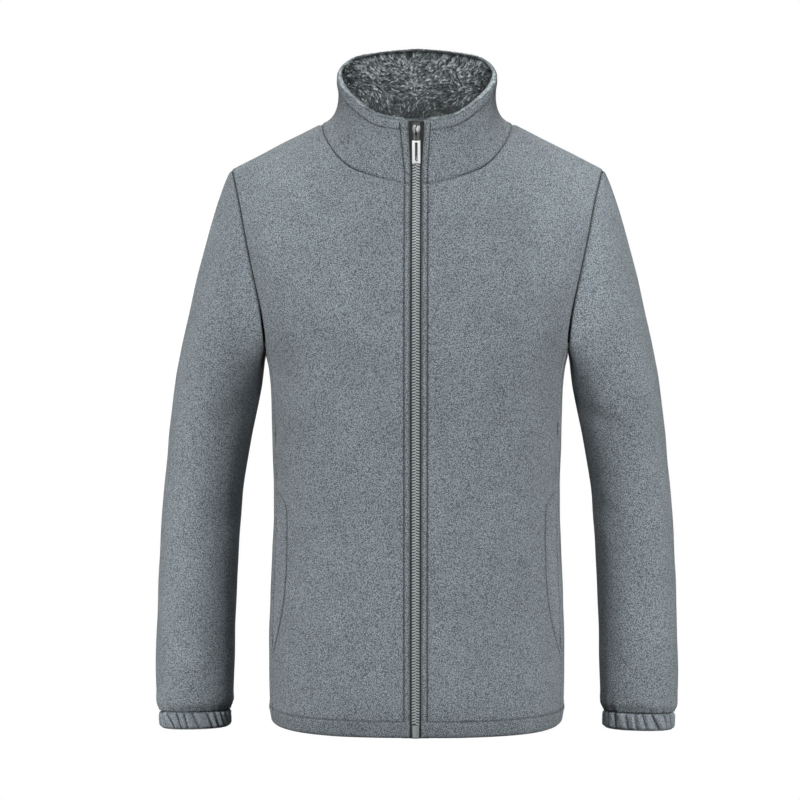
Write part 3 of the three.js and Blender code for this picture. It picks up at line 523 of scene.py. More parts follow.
# Places at even distances along a seam, as angles and levels; close together at its end where asked
def seamPlaces(table, count, angleOf=None, closeEnd=True):
    keyed = {**table, "at": np.linspace(0, 1, len(table["rise"]))}

    def place(t):
        level = levelOf(readTable(keyed, "at", t, "rise"))
        if angleOf:
            return angleOf(readTable(keyed, "at", t, "x"), level), level
        return readTable(keyed, "at", t, "angle"), level

    fine = np.linspace(0, 1, 401)
    length = alongLine(bodyPoint(*place(fine)))
    shares = np.linspace(0, 1, count + 1)
    if closeEnd:
        shares = np.concatenate([shares[:-1], 1 - np.array([0.62, 0.36, 0.2, 0.1, 0.03]) / count, [1]])
    return place(np.interp(shares * length[-1], length, fine))


seamSteps = {"front": 52, "frontNeck": 28, "back": 68, "backNeck": 20}
frontArm = seamPlaces(frontArmhole, seamSteps["front"])
backArm = seamPlaces(backArmhole, seamSteps["back"])
frontNeck = seamPlaces(frontNeckline, seamSteps["frontNeck"], angleAtX)
backNeck = seamPlaces(backNeckline, seamSteps["backNeck"], backAngleAtX)
junctionLevel = levelOf(frontArmhole["rise"][0])
seams = {
    "arm": np.concatenate([bodyPoint(*frontArm)[::-1], bodyPoint(*backArm)[1:]]),
    "neck": np.concatenate([bodyPoint(*frontNeck), bodyPoint(*backNeck)[::-1][1:]]),
    "side": bodyPoint(np.full(90, cut["sideSeam"]), np.linspace(-1, junctionLevel, 90)),
    "shoulder": bodyPoint(np.linspace(frontNeck[0][-1], frontArm[0][-1], 40), np.ones(40)),
}


# Distance of each point from a seam, the same on both sides of the jacket
def fromSeam(points, name):
    flat = points.reshape(-1, 3).copy()
    flat[:, 0] = np.abs(flat[:, 0])
    best = np.full(len(flat), 1e9)
    for start, end in zip(seams[name][:-1], seams[name][1:]):
        step = end - start
        t = np.clip(((flat - start) @ step) / max(step @ step, 1e-9), 0, 1)
        best = np.minimum(best, np.linalg.norm(flat - start - t[:, None] * step, axis=1))
    return best.reshape(points.shape[:-1])


# How edges, folds and seams stand in relief, in millimetres
relief = {
    "seamDip": 1.8, "seamWidth": 1.8,        # the cloth rolls into a sewn seam
    "foldRise": 0.9,                          # a turned edge has two layers
    "edgeRoll": 1.3, "edgeWidth": 1.1,
    "grooveDepth": 1.0, "grooveWidth": 0.9,   # a row of stitches presses the pile down
    "puff": 0.45,
    # how dark the painted shade is in grooves, at edges and in seams, 0 to 1
    "grooveShade": 0.97, "edgeShade": 0.3, "seamShade": 1.0, "shadeWidth": 1.25,
    "placket": 6.0, "hem": 18.0, "mouth": 7.0, "rim": 11.0,
}


def foldedEdge(distance, width, rise=None):
    rise = relief["foldRise"] if rise is None else rise
    raised = rise * (1 - ramp(distance, width - 0.3, width + 1.6))
    groove = -relief["grooveDepth"] * bell(distance - width, relief["grooveWidth"])
    puff = relief["puff"] * (bell(distance - width + 2.6, 1.6) + bell(distance - width - 2.6, 1.6))
    return raised + groove + puff - relief["edgeRoll"] * bell(distance, relief["edgeWidth"])


# Painted shade of a turned edge: darker in its row of stitches and at the edge
def foldedShade(distance, width):
    return np.maximum(relief["grooveShade"] * bell(distance - width, relief["grooveWidth"]),
                      relief["edgeShade"] * bell(distance, relief["edgeWidth"]))


def nearSeam(points, names, width):
    return np.max([bell(fromSeam(points, name), width) for name in names], axis=0)


def seamDip(points, names):
    return -relief["seamDip"] * nearSeam(points, names, relief["seamWidth"])


# Slow waves in all the cloth, so that it doesn't look pressed
swell = {"height": 0.6, "waves": [(150, 0.0), (97, 1.9), (61, 4.1)]}


def swellOf(points):
    x, y, z = points[..., 0], points[..., 1], points[..., 2]
    total = 0
    for size, offset in swell["waves"]:
        k = 2 * math.pi / size
        total = total + np.sin(k * (0.9 * x + 0.4 * z) + offset) * np.cos(k * (0.8 * z - 0.5 * y) + 2 * offset)
    return swell["height"] * total / len(swell["waves"])


# Creases: middle across and up, turn from level in degrees, half length, half width and height (a trough is
# below 0)
def creaseOf(across, up, creases):
    total = np.zeros(np.broadcast(across, up).shape)
    for x, z, tilt, long, wide, high in creases:
        t = math.radians(tilt)
        dx, dz = across - x, up - z
        along = dx * math.cos(t) + dz * math.sin(t)
        beside = -dx * math.sin(t) + dz * math.cos(t) + along * along / (9 * long)
        total = total + high * bell(beside, wide) * bell(along, long)
    return total


def makeMesh(name, verts, faces, uv=None, paintedShade=None):
    mesh = bpy.data.meshes.new(name)
    mesh.from_pydata((np.asarray(verts) * mm).tolist(), [], np.asarray(faces).tolist())
    if uv is not None:
        layer = mesh.uv_layers.new(name="cloth")
        corner = np.empty(len(mesh.loops), np.int32)
        mesh.loops.foreach_get("vertex_index", corner)
        layer.data.foreach_set("uv", np.asarray(uv, np.float32)[corner].ravel())
    # painted shade of seams, grooves, creases and gaps, kept on the points
    if paintedShade is not None:
        mesh.attributes.new("paintedShade", "FLOAT", "POINT").data.foreach_set("value", np.asarray(paintedShade, np.float32))
    mesh.shade_smooth()
    made = bpy.data.objects.new(name, mesh)
    bpy.context.scene.collection.objects.link(made)
    return made


def gridFaces(rows, columns, start=0, ring=False):
    r, c = np.meshgrid(np.arange(rows - 1), np.arange(columns - (0 if ring else 1)), indexing="ij")
    after = (c + 1) % columns
    quads = np.stack([r * columns + c, r * columns + after, (r + 1) * columns + after, (r + 1) * columns + c], -1)
    return quads.reshape(-1, 4) + start


def gridOut(grid, ring=False):
    across = np.roll(grid, -1, 1) - np.roll(grid, 1, 1) if ring else np.gradient(grid, axis=1)
    return unit(np.cross(across, np.gradient(grid, axis=0)))


def pick(piece):
    bpy.ops.object.select_all(action="DESELECT")
    piece.select_set(True)
    bpy.context.view_layer.objects.active = piece


def outwards(piece):
    pick(piece)
    bpy.ops.object.mode_set(mode="EDIT")
    bpy.ops.mesh.select_all(action="SELECT")
    bpy.ops.mesh.normals_make_consistent(inside=False)
    bpy.ops.object.mode_set(mode="OBJECT")


# A closed cloth wall between its outer and inner grid of points; its edges bulge a little. The painted shade given
# for each outer point darkens the cloth there, in seams, grooves, creases and gaps
def clothShell(name, outer, inner, paintedShade=None, ring=False, bulge=0.3):
    rows, columns = outer.shape[:2]
    size = rows * columns
    verts = [outer.reshape(-1, 3), inner.reshape(-1, 3)]
    faces = [gridFaces(rows, columns, 0, ring), gridFaces(rows, columns, size, ring)[:, ::-1]]
    index = np.arange(size).reshape(rows, columns)
    middle = (outer + inner) / 2
    if ring:
        borders = [(index[0], middle[0] - middle[1]), (index[-1], middle[-1] - middle[-2])]
    else:
        away = np.zeros_like(middle)
        away[0] += unit(middle[0] - middle[1])
        away[-1] += unit(middle[-1] - middle[-2])
        away[:, 0] += unit(middle[:, 0] - middle[:, 1])
        away[:, -1] += unit(middle[:, -1] - middle[:, -2])
        loop = np.concatenate([index[0, :-1], index[:-1, -1], index[-1, :0:-1], index[:0:-1, 0]])
        borders = [(loop, away.reshape(-1, 3)[loop])]
    count = 2 * size
    for k, (loop, away) in enumerate(borders):
        verts.append(middle.reshape(-1, 3)[loop] + unit(away) * bulge)
        here = np.arange(len(loop))
        after = (here + 1) % len(loop)
        a, b, m, m2 = loop[here], loop[after], count + here, count + after
        strip = np.concatenate([np.stack([b, a, m, m2], -1), np.stack([m2, m, a + size, b + size], -1)])
        faces.append(strip[:, ::-1] if ring and k == 1 else strip)
        count += len(loop)
    uv = np.stack([
        np.concatenate([np.zeros((rows, 1)), np.linalg.norm(np.diff(outer, axis=1), axis=2).cumsum(1)], 1),
        np.concatenate([np.zeros((1, columns)), np.linalg.norm(np.diff(outer, axis=0), axis=2).cumsum(0)], 0),
    ], -1).reshape(-1, 2) * mm
    flat = np.zeros(size) if paintedShade is None else np.clip(paintedShade, 0, 1).ravel()
    made = makeMesh(name, np.concatenate(verts), np.concatenate(faces),
                    np.concatenate([uv, uv] + [uv[loop] for loop, _ in borders]),
                    np.concatenate([flat, np.zeros(size)] + [flat[loop] for loop, _ in borders]))
    outwards(made)
    return made


# Takes a piece's outer grid and, for a ring, closes it with its first column; nothing more is done with it
def declareSheet(outer, ring=False):
    if ring:
        outer = np.concatenate([outer, outer[:, :1]], 1)


# Rows of a body panel between two edges, with the distance of each point from both
def panelGrid(innerAngle, innerLevel, outerAngle, outerLevel, near, far, middle):
    t = np.linspace(0, 1, 161)
    points, outs, fromInner, fromOuter = [], [], [], []
    for a0, l0, a1, l1 in zip(innerAngle, innerLevel, outerAngle, outerLevel):
        length = alongLine(bodyPoint(a0 + (a1 - a0) * t, l0 + (l1 - l0) * t))
        whole = length[-1]
        squeeze = min(1, 0.46 * whole / near[-1])
        first, last = np.array(near) * squeeze, whole - np.array(far) * squeeze
        at = np.concatenate([first, np.linspace(first[-1], last[0], middle + 2)[1:-1], last])
        share = np.interp(at, length, t)
        points.append(bodyPoint(a0 + (a1 - a0) * share, l0 + (l1 - l0) * share))
        outs.append(bodyOut(a0 + (a1 - a0) * share, l0 + (l1 - l0) * share))
        fromInner.append(at)
        fromOuter.append(whole - at)
    return np.array(points), np.array(outs), np.array(fromInner), np.array(fromOuter)


def lowerRowZ():
    hem = [0, 0.5, 1.1, 2.2, 4.5, 8, 12, 15, 16.6, 17.2, 17.6, 18, 18.4, 18.8, 19.5, 21, 24, 28]
    return np.sort(np.concatenate([
        cut["hemZ"] + np.array(hem), np.arange(-649, -603, 5.0), np.arange(-603, -580, 3.0),
        np.arange(-580, -434, 5.0), np.arange(-434, -408, 2.0), np.arange(-408, -276, 5.0),
    ]))


# Fronts
frontSet = {
    "near": [0, 0.5, 1.1, 2.0, 3.2, 4.5, 5.2, 5.6, 6.0, 6.4, 6.8, 7.5, 8.8, 11.0, 14.0],
    "far": [14.0, 10.5, 8.6, 7.8, 7.4, 7.0, 6.6, 6.2, 5.2, 4.0, 2.8, 1.8, 1.0, 0.4, 0],
    "middle": 30,
    "stitchColumn": 8,       # the column of near that lies on the placket's stitches
    "mouthColumn": -10,      # the column of far that lies on the mouth's stitches
    "creases": [
        (150, -268, 62, 62, 13, -2.2), (132, -300, 70, 48, 10, 1.2), (158, -345, 30, 34, 9, -1.3),
        (150, -392, 12, 42, 11, -1.0), (118, -214, 52, 40, 15, -0.9), (24, -604, 74, 34, 9, -1.1),
        (44, -596, 80, 42, 9, 1.0), (63, -612, 76, 36, 10, -1.1), (84, -602, 82, 44, 11, 0.9),
        (112, -630, 66, 40, 14, -1.0), (-38, -618, 104, 46, 12, -0.8), (-74, -600, 98, 52, 14, 0.7),
        (-146, -272, 116, 58, 12, -2.0), (-128, -306, 108, 44, 11, 1.1), (-156, -352, 152, 36, 10, -1.2),
        (-148, -400, 166, 40, 10, -0.9), (-36, -150, 158, 46, 12, -0.7), (42, -138, 22, 40, 11, -0.7),
    ],
}


def mouthAngle(z):
    inside = (z > pocketMouth["z"][0]) & (z < pocketMouth["z"][-1])
    return np.where(inside, readTable(pocketMouth, "z", z, "angle"), cut["sideSeam"])


def frontPanel():
    z = lowerRowZ()
    lowerLevel = levelAtZ(z)
    joinLevel = np.linspace(lowerLevel[-1], junctionLevel, 7)[1:]
    zipLevel = np.linspace(junctionLevel, frontNeck[1][0], seamSteps["front"] - seamSteps["frontNeck"] + 1)[1:]
    edgeLevel = np.concatenate([lowerLevel, joinLevel, zipLevel])
    points, outs, fromZip, fromSide = panelGrid(
        np.concatenate([angleAtX(cut["zipEdge"], edgeLevel), frontNeck[0][1:]]),
        np.concatenate([edgeLevel, frontNeck[1][1:]]),
        np.concatenate([mouthAngle(z), np.full(len(joinLevel), cut["sideSeam"]), frontArm[0][1:]]),
        np.concatenate([lowerLevel, joinLevel, frontArm[1][1:]]),
        frontSet["near"], frontSet["far"], frontSet["middle"])
    rowZ = np.concatenate([z, np.zeros(len(points) - len(z))])[:, None]
    besideZip = (np.arange(len(points)) < len(edgeLevel))[:, None] * 1.0
    besideMouth = ramp(rowZ, -604, -597) * (1 - ramp(rowZ, -416, -411)) * (rowZ < -1)
    aboveHem = np.where(rowZ < -1, rowZ - cut["hemZ"], 999.0)
    height = foldedEdge(fromZip, relief["placket"]) * besideZip
    height += foldedEdge(fromSide, relief["mouth"], 0.5) * besideMouth
    height = height * ramp(aboveHem, 19, 22) + foldedEdge(aboveHem, relief["hem"])
    sideDip = seamDip(points, ["side"]) * (1 - besideMouth)
    height += np.minimum(seamDip(points, ["arm", "neck", "shoulder"]), sideDip)
    # painted shade: darker in the placket's stitch groove and at its edge, the hem's fold, the pocket mouth and the
    # shadow under its edge, and along the seams
    neckShade = relief["seamShade"] * nearSeam(points, ["neck"], relief["shadeWidth"])
    paintedShade = np.maximum.reduce([
        foldedShade(fromZip, relief["placket"]) * besideZip * ramp(aboveHem, 18, 19),
        0.6 * foldedShade(aboveHem, relief["hem"]) * ramp(fromZip, 3, 6),
        foldedShade(fromSide, relief["mouth"]) * besideMouth,
        0.95 * bell(fromSide, 1.4) * besideMouth,
        relief["seamShade"] * nearSeam(points, ["arm", "shoulder"], relief["shadeWidth"]),
        neckShade * (0.12 + 0.88 * ramp(fromZip, 14, 75)),
        0.8 * nearSeam(points, ["side"], relief["shadeWidth"]) * (1 - besideMouth)])
    fade = ramp(fromSeam(points, "arm"), 4, 30) * ramp(fromZip, 8, 30)
    return {"points": points, "outs": outs, "height": height, "fade": fade, "paintedShade": paintedShade, "z": rowZ[:, 0],
            "zipRows": len(edgeLevel)}


# Outer and inner grid of a panel on one side, with its swell and creases
def dressPanel(grid, creases, side=1):
    points, outs = grid["points"] * [side, 1, 1], grid["outs"] * [side, 1, 1]
    soft = (swellOf(points) + creaseOf(points[..., 0], points[..., 2], creases)) * grid["fade"]
    return points + outs * (grid["height"] + soft)[..., None], points + outs * (soft - cut["cloth"])[..., None]


stitchLines = []            # each row of stitches: points of its line and the way out of the cloth
sides = (("left", 1), ("right", -1))
front = frontPanel()
zipFoot = int(np.searchsorted(front["z"][:60], cut["hemZ"] + relief["hem"]))
for word, side in sides:
    outer, inner = dressPanel(front, frontSet["creases"], side)
    piece = clothShell(f"cloth_front_{word}", outer, inner, front["paintedShade"], bulge=0.9)
    attach(piece, fleece, [f"front_{word}"])
    declareSheet(outer)
    outs = front["outs"] * [side, 1, 1]
    column, mouth = frontSet["stitchColumn"], frontSet["mouthColumn"]
    stitchLines.append((outer[zipFoot:front["zipRows"], column], outs[zipFoot:front["zipRows"], column]))
    stitchLines.append((outer[zipFoot, column:], outs[zipFoot, column:]))
    rows = (front["z"] > -596) & (front["z"] < -417)
    stitchLines.append((outer[rows, mouth], outs[rows, mouth]))
print("fronts made")


# Back
backSet = {
    "near": [0, 0.7, 1.6, 2.8, 4.5, 7, 11], "far": [11, 7, 4.5, 2.8, 1.6, 0.7, 0], "middle": 42,
    "creases": [
        (138, -262, 58, 66, 14, -2.4), (-134, -268, 120, 62, 13, -2.3), (112, -300, 64, 50, 12, 1.4),
        (-108, -306, 114, 52, 12, 1.3), (30, -408, 8, 90, 13, -1.6), (-52, -440, -6, 74, 12, -1.4),
        (70, -470, 14, 60, 12, 1.1), (-10, -58, 3, 60, 12, -1.1), (60, -600, 82, 60, 15, -1.2),
        (-64, -590, 97, 66, 15, -1.2), (4, -620, 90, 52, 14, 0.9), (-30, -180, 82, 90, 22, -0.8),
    ],
}


def backPanel():
    z = lowerRowZ()
    lowerLevel = levelAtZ(z)
    joinLevel = np.linspace(lowerLevel[-1], junctionLevel, 7)[1:]
    middleLevel = np.linspace(junctionLevel, backNeck[1][0], seamSteps["back"] - seamSteps["backNeck"] + 1)[1:]
    edgeLevel = np.concatenate([lowerLevel, joinLevel, middleLevel])
    points, outs, _, _ = panelGrid(
        np.concatenate([np.full(len(edgeLevel), 180.0), backNeck[0][1:]]),
        np.concatenate([edgeLevel, backNeck[1][1:]]),
        np.concatenate([np.full(len(z) + len(joinLevel), cut["sideSeam"]), backArm[0][1:]]),
        np.concatenate([lowerLevel, joinLevel, backArm[1][1:]]),
        backSet["near"], backSet["far"], backSet["middle"])
    rowZ = np.concatenate([z, np.zeros(len(points) - len(z))])[:, None]
    aboveHem = np.where(rowZ < -1, rowZ - cut["hemZ"], 999.0)
    allSeams = ["arm", "neck", "shoulder", "side"]
    height = foldedEdge(aboveHem, relief["hem"]) + seamDip(points, allSeams)
    # painted shade in the hem's fold and along the seams
    paintedShade = np.maximum(foldedShade(aboveHem, relief["hem"]),
                       relief["seamShade"] * nearSeam(points, allSeams, relief["shadeWidth"]))
    fade = ramp(fromSeam(points, "arm"), 4, 30) * ramp(fromSeam(points, "neck"), 3, 24)
    whole = {"z": rowZ[:, 0]}
    for key, grid in (("points", points), ("outs", outs), ("height", height), ("fade", fade), ("paintedShade", paintedShade)):
        other = grid[:, :0:-1] * ([-1, 1, 1] if grid.ndim == 3 else 1)
        whole[key] = np.concatenate([other, grid], 1)
    return whole


back = backPanel()
outer, inner = dressPanel(back, backSet["creases"])
piece = clothShell("cloth_back", outer, inner, back["paintedShade"])
attach(piece, fleece, ["back"])
declareSheet(outer)
stitchLines.append((outer[zipFoot], back["outs"][zipFoot]))
print("back made")


# Sleeves
sleeveSections = {
    "z": [-292, -347, -402, -457, -513, -568, -623, -648, -660, -670],
    "x": [228, 238, 245.2, 250, 252.8, 254.6, 256, 256.2, 256, 255.8],
    "y": [2, 4, 4, 1, -4, -10, -16, -19, -20, -21],
    "halfWidth": [49.6, 47.6, 45.6, 45.4, 45.4, 45, 45, 44.4, 43, 40],
    "halfDepth": [71, 66, 62, 59, 56, 53, 51, 49, 46, 41],
}
sleeveSet = {
    "square": 2.15, "frontSteps": 39, "backSteps": 51,
    "topOut": 0.5, "underOut": 0.25, "forward": 0.16, "down": 0.87, "top": 118, "side": 95, "under": 34,
    "pucker": 2.0, "puckerFade": 13,
    # round the sleeve in millimetres from its outer line towards the front, height, and as for the panels
    "creases": {
        "left": [(120, -330, 20, 60, 13, -1.8), (105, -392, -24, 46, 12, -1.5), (128, -440, 16, 44, 11, -1.2),
                 (-110, -400, 18, 60, 13, -1.6), (-84, -448, -16, 52, 12, -1.3), (40, -560, 30, 46, 14, -0.7),
                 (64, -622, 62, 26, 9, -1.1), (28, -634, 100, 24, 8, -0.9), (96, -598, 48, 30, 10, 0.8),
                 (-60, -610, 70, 36, 12, -1.0), (150, -520, 8, 46, 13, -1.3), (78, -300, 64, 40, 13, -0.7)],
        "right": [(116, -322, 26, 56, 13, -1.7), (98, -384, -18, 50, 12, -1.4), (132, -452, 12, 48, 12, -1.2),
                  (-104, -392, 22, 58, 13, -1.6), (-90, -456, -20, 50, 12, -1.2), (52, -580, -26, 44, 13, -0.7),
                  (40, -640, 80, 22, 8, -1.5), (76, -614, 54, 28, 9, -1.0), (14, -606, 108, 34, 10, 0.7),
                  (-66, -600, 66, 36, 12, -1.0), (146, -530, 10, 46, 13, -1.2), (70, -292, 70, 40, 13, -0.7)],
    },
}


def sleeveFrame(z):
    z = np.atleast_1d(np.asarray(z, float))
    low, high = np.maximum(z - 12, sleeveSections["z"][-1]), np.minimum(z + 12, sleeveSections["z"][0])
    at = {name: readTable(sleeveSections, "z", z, name) for name in ("x", "y", "halfWidth", "halfDepth")}
    lean = [readTable(sleeveSections, "z", low, name) - readTable(sleeveSections, "z", high, name)
            for name in "xy"]
    along = unit(np.stack([*lean, low - high], -1))
    side = unit(np.array([1.0, 0, 0]) - along * along[:, :1])
    forward = np.cross(side, along)
    forward *= np.where(forward[:, 1:2] > 0, -1, 1)
    return {"centre": np.stack([at["x"], at["y"], z], -1), "along": along, "side": side, "forward": forward,
            "halfWidth": at["halfWidth"], "halfDepth": at["halfDepth"]}


# Points round the sleeve: 0 degrees outside, 90 in front, 180 inside and 270 behind
def ringPoints(ring, angle, grow=0.0):
    s, c = np.sin(np.radians(angle)), np.cos(np.radians(angle))
    wide = (ring["halfWidth"][:, None] + grow) * signedPower(c, 2 / sleeveSet["square"])
    deep = (ring["halfDepth"][:, None] + grow) * signedPower(s, 2 / sleeveSet["square"])
    offset = wide[..., None] * ring["side"][:, None] + deep[..., None] * ring["forward"][:, None]
    return ring["centre"][:, None] + offset


armAngle, armLevel = (np.concatenate([f[::-1], b[1:-1]]) for f, b in zip(
    seamPlaces(frontArmhole, sleeveSet["frontSteps"], closeEnd=False),
    seamPlaces(backArmhole, sleeveSet["backSteps"], closeEnd=False)))
armSeam, armOut = bodyPoint(armAngle, armLevel), bodyOut(armAngle, armLevel)


def anglesRoundSleeve():
    length = alongLine(np.concatenate([armSeam, armSeam[:1]]))
    lowest = int(np.argmin(armSeam[:, 2]))
    first = 180 * length[:-1] / length[lowest]
    second = 180 + 180 * (length[:-1] - length[lowest]) / (length[-1] - length[lowest])
    return np.where(np.arange(len(armSeam)) <= lowest, first, second)


roundSleeve = anglesRoundSleeve()


# Gathers of the elastic: uneven ridges with narrow valleys, slanting over the cuff's height
gathers = {
    "count": 22, "slant": (8.0, -18.0), "height": 3.3,
    "uneven": [(2, 4.6, 0.6), (3, 3.6, 2.1), (5, 2.4, 4.0), (7, 1.5, 1.0)],
}


def gatherAt(angle, drop, seed):
    place = angle + gathers["slant"][seed] * (drop - 0.5) * (1 + 0.5 * np.sin(np.radians(2 * angle + 70 * seed)))
    for k, size, offset in gathers["uneven"]:
        place = place + size * np.sin(np.radians(k * angle) + offset + 1.7 * seed)
    half = np.radians(gathers["count"] * place / 2)
    ridge = (np.sin(half) ** 2 + 0.002) ** 0.4
    ripple = gathers["count"] * 2 * place + 130 * np.sin(np.radians(4 * angle)) + 90 * drop
    fine = 0.12 * np.sin(np.radians(ripple))
    deep = 0.9 + 0.1 * np.sin(np.radians(3 * angle + 50 * seed) + 2.0 * np.sin(np.radians(2 * angle)))
    return (ridge + fine - 1) * deep + 1


def sleeveGrid(word, seed):
    first = sleeveFrame(sleeveSections["z"][0])
    end = ringPoints(first, roundSleeve)[0]
    s, c = np.sin(np.radians(roundSleeve)), np.cos(np.radians(roundSleeve))
    k = sleeveSet
    out = k["underOut"] + (k["topOut"] - k["underOut"]) * (1 + c) / 2
    firm = np.where(c > 0, k["side"] + (k["top"] - k["side"]) * c, k["side"] - (k["under"] - k["side"]) * c)
    leave = unit(np.stack([out, -k["forward"] * s, np.full(len(s), -k["down"])], -1)) * firm[:, None]
    arrive = first["along"] * np.maximum(60, np.linalg.norm(end - armSeam, axis=1))[:, None]
    shares = np.concatenate([[0, 0.004, 0.01, 0.02, 0.035, 0.055], np.linspace(0.08, 1, 26)])
    cap = hermite(armSeam, leave, end, arrive, shares[:, None, None])
    z = np.concatenate([np.arange(-297, -637, -5.0), [-640, -644, -648, -651, -654, -657, -660, -662, -664, -665.6,
                                                     -667, -668.2, -669.1, -669.7, -670]])
    face = np.concatenate([cap, ringPoints(sleeveFrame(z), roundSleeve)])
    outs = gridOut(face, True)
    share = ramp((outs[0] * armOut).sum(-1), 0, 0.8)[:, None]
    start = unit(outs[0] * (1 - share) + armOut * share)
    for r in range(6):
        outs[r] = unit(start * (1 - r / 6) + outs[r] * r / 6)
    rowZ = np.concatenate([np.full(len(shares), -200.0), z])[:, None]
    aboveCuff = rowZ - sleeveSections["z"][-1]
    gathered = k["pucker"] * (gatherAt(roundSleeve, -aboveCuff / 20, seed) - 0.5) * bell(aboveCuff, k["puckerFade"])
    dip = seamDip(face, ["arm"]) + 1.2 * ramp(aboveCuff, 0, 9) * bell(aboveCuff - 9, 9)
    wrapped = (roundSleeve + 180) % 360 - 180
    soft = creaseOf(wrapped * 0.94, face[..., 2], sleeveSet["creases"][word]) + 1.2 * swellOf(face)
    soft = soft * ramp(fromSeam(face, "arm"), 4, 30) * ramp(aboveCuff, 2, 16)
    outer = face + outs * (dip + soft + gathered)[..., None]
    inner = face + outs * (soft + 0.6 * gathered - cut["cloth"])[..., None]
    # painted shade in the armhole seam, along the cuff seam and in the valleys of the puckers above it
    paintedShade = np.maximum.reduce([
        relief["seamShade"] * nearSeam(face, ["arm"], relief["shadeWidth"]),
        np.broadcast_to(0.8 * bell(aboveCuff, 1.1), gathered.shape),
        0.9 * np.clip(-gathered / k["pucker"] * 2.4, 0, 1) * bell(aboveCuff, 8)])
    return outer, inner, paintedShade


for seed, (word, side) in enumerate(sides):
    outer, inner, paintedShade = sleeveGrid(word, seed)
    piece = clothShell(f"cloth_sleeve_{word}", outer * [side, 1, 1], inner * [side, 1, 1], paintedShade, ring=True)
    attach(piece, fleece, [f"sleeve_{word}"])
    declareSheet(outer, ring=True)
print("sleeves made")


# Cuffs
cuffSet = {
    "height": 20.0, "gap": 0.3, "wall": 2.4, "columns": 252,
    "drop": [0, 0.02, 0.05, 0.1, 0.16, 0.23, 0.3, 0.38, 0.46, 0.54, 0.62, 0.7, 0.77, 0.83, 0.88, 0.92, 0.95, 0.975,
             0.99, 1],
}


def cuffGrid(seed):
    end = sleeveFrame(sleeveSections["z"][-1])
    angle = np.linspace(0, 360, cuffSet["columns"] + 1)[:-1]
    drop = np.array(cuffSet["drop"])[:, None]
    gather = gatherAt(angle, drop, seed)
    plump = 0.8 * (1 - bell(drop, 0.12)) - 1.7 * bell(drop - 1.0, 0.08)
    shallow = 1 - 0.5 * bell(drop, 0.1) - 0.55 * bell(drop - 1.0, 0.1)
    wave = gathers["height"] * shallow * gather
    down = end["along"][:, None] * (cuffSet["gap"] + drop * cuffSet["height"])[..., None]
    base = ringPoints(end, angle)[0]
    away = unit(base - end["centre"][0])
    outer = base + down + away * (plump + wave - 2.6)[..., None]
    inner = base + down + away * (0.6 * wave - cuffSet["wall"] - 2.7 + 0.3 * plump)[..., None]
    # painted shade in the narrow valleys between the gathers and along the top seam
    paintedShade = np.maximum(shallow * np.clip(1.7 - 2.7 * gather, 0, 1), 0.85 * bell(drop * cuffSet["height"], 1.1))
    return outer, inner, paintedShade


for seed, (word, side) in enumerate(sides):
    outer, inner, paintedShade = cuffGrid(seed)
    piece = clothShell(f"cloth_cuff_{word}", outer * [side, 1, 1], inner * [side, 1, 1], paintedShade, ring=True)
    attach(piece, band, [f"cuff_{word}"])
    declareSheet(outer, ring=True)
print("cuffs made")


# Collar
collarEdge = {
    "share": [0, 0.17, 0.32, 0.45, 0.56, 0.7, 0.85, 1],
    "x": [10, 44, 70, 86, 90.5, 79, 45, 0],
    "y": [-79, -71.5, -51, -28, -3, 30, 54, 62],
    "z": [2, 8, 26, 45, 61.5, 78, 86.5, 91],
    "inward": [16, 22, 40, 62, 76, 55, 26, 14],
    "up": [60, 55, 40, 28, 22, 32, 50, 60],
}
collarSet = {
    "nearZip": [0, 0.5, 1.1, 2.0, 3.2, 4.5, 5.2, 5.6, 6.0, 6.4, 6.8, 7.5, 8.8, 11.0, 14.0],
    "seam": [0, 0.5, 1.1, 2.0, 3.2, 5, 8],
    "rim": [14, 12.6, 11.8, 11.4, 11, 10.6, 10.2, 9.4, 7.5, 5.5, 3.5, 2, 1, 0.4, 0],
    "rows": 14, "columns": 40, "stitchColumn": 8, "rimRow": -11, "flare": {1: 3.0, -1: 8.0},
    # along the neckline from the zip in millimetres, share of the height, and as for the panels
    "creases": {1: [(34, 0.42, 78, 34, 9, -1.2), (62, 0.3, 70, 26, 9, -1.4), (96, 0.28, 60, 30, 10, -1.5),
                    (132, 0.24, 58, 30, 11, -1.6), (112, 0.55, 86, 34, 12, 0.9), (200, 0.3, 80, 34, 14, -1.2)],
                -1: [(28, 0.5, 98, 36, 9, -1.1), (54, 0.34, 106, 28, 8, -1.4), (88, 0.3, 114, 30, 10, -1.5),
                     (126, 0.22, 118, 30, 11, -1.6), (104, 0.6, 92, 34, 12, 0.9), (206, 0.34, 96, 34, 14, -1.2)]},
}
neckCurve = seams["neck"]
neckAt = alongLine(neckCurve)
neckLength = neckAt[-1]


# Points of the collar over a place on the half neckline (millimetres from the zip), lift 0 at the seam and 1 at
# the rim
def collarPoint(along, lift):
    along, lift = np.broadcast_arrays(np.asarray(along, float), np.asarray(lift, float))
    share = along / neckLength
    base = np.stack([np.interp(along, neckAt, neckCurve[:, k]) for k in range(3)], -1)
    edge = np.stack([readTable(collarEdge, "share", share, name) for name in "xyz"], -1)
    inward = unit(np.stack([-base[..., 0], -0.8 * base[..., 1], 0 * share], -1))
    leave = inward * readTable(collarEdge, "share", share, "inward")[..., None]
    leave[..., 2] += readTable(collarEdge, "share", share, "up")
    arrive = np.zeros_like(base)
    arrive[..., 2] = edge[..., 2] - base[..., 2]
    return hermite(base, leave, edge, arrive, lift[..., None])


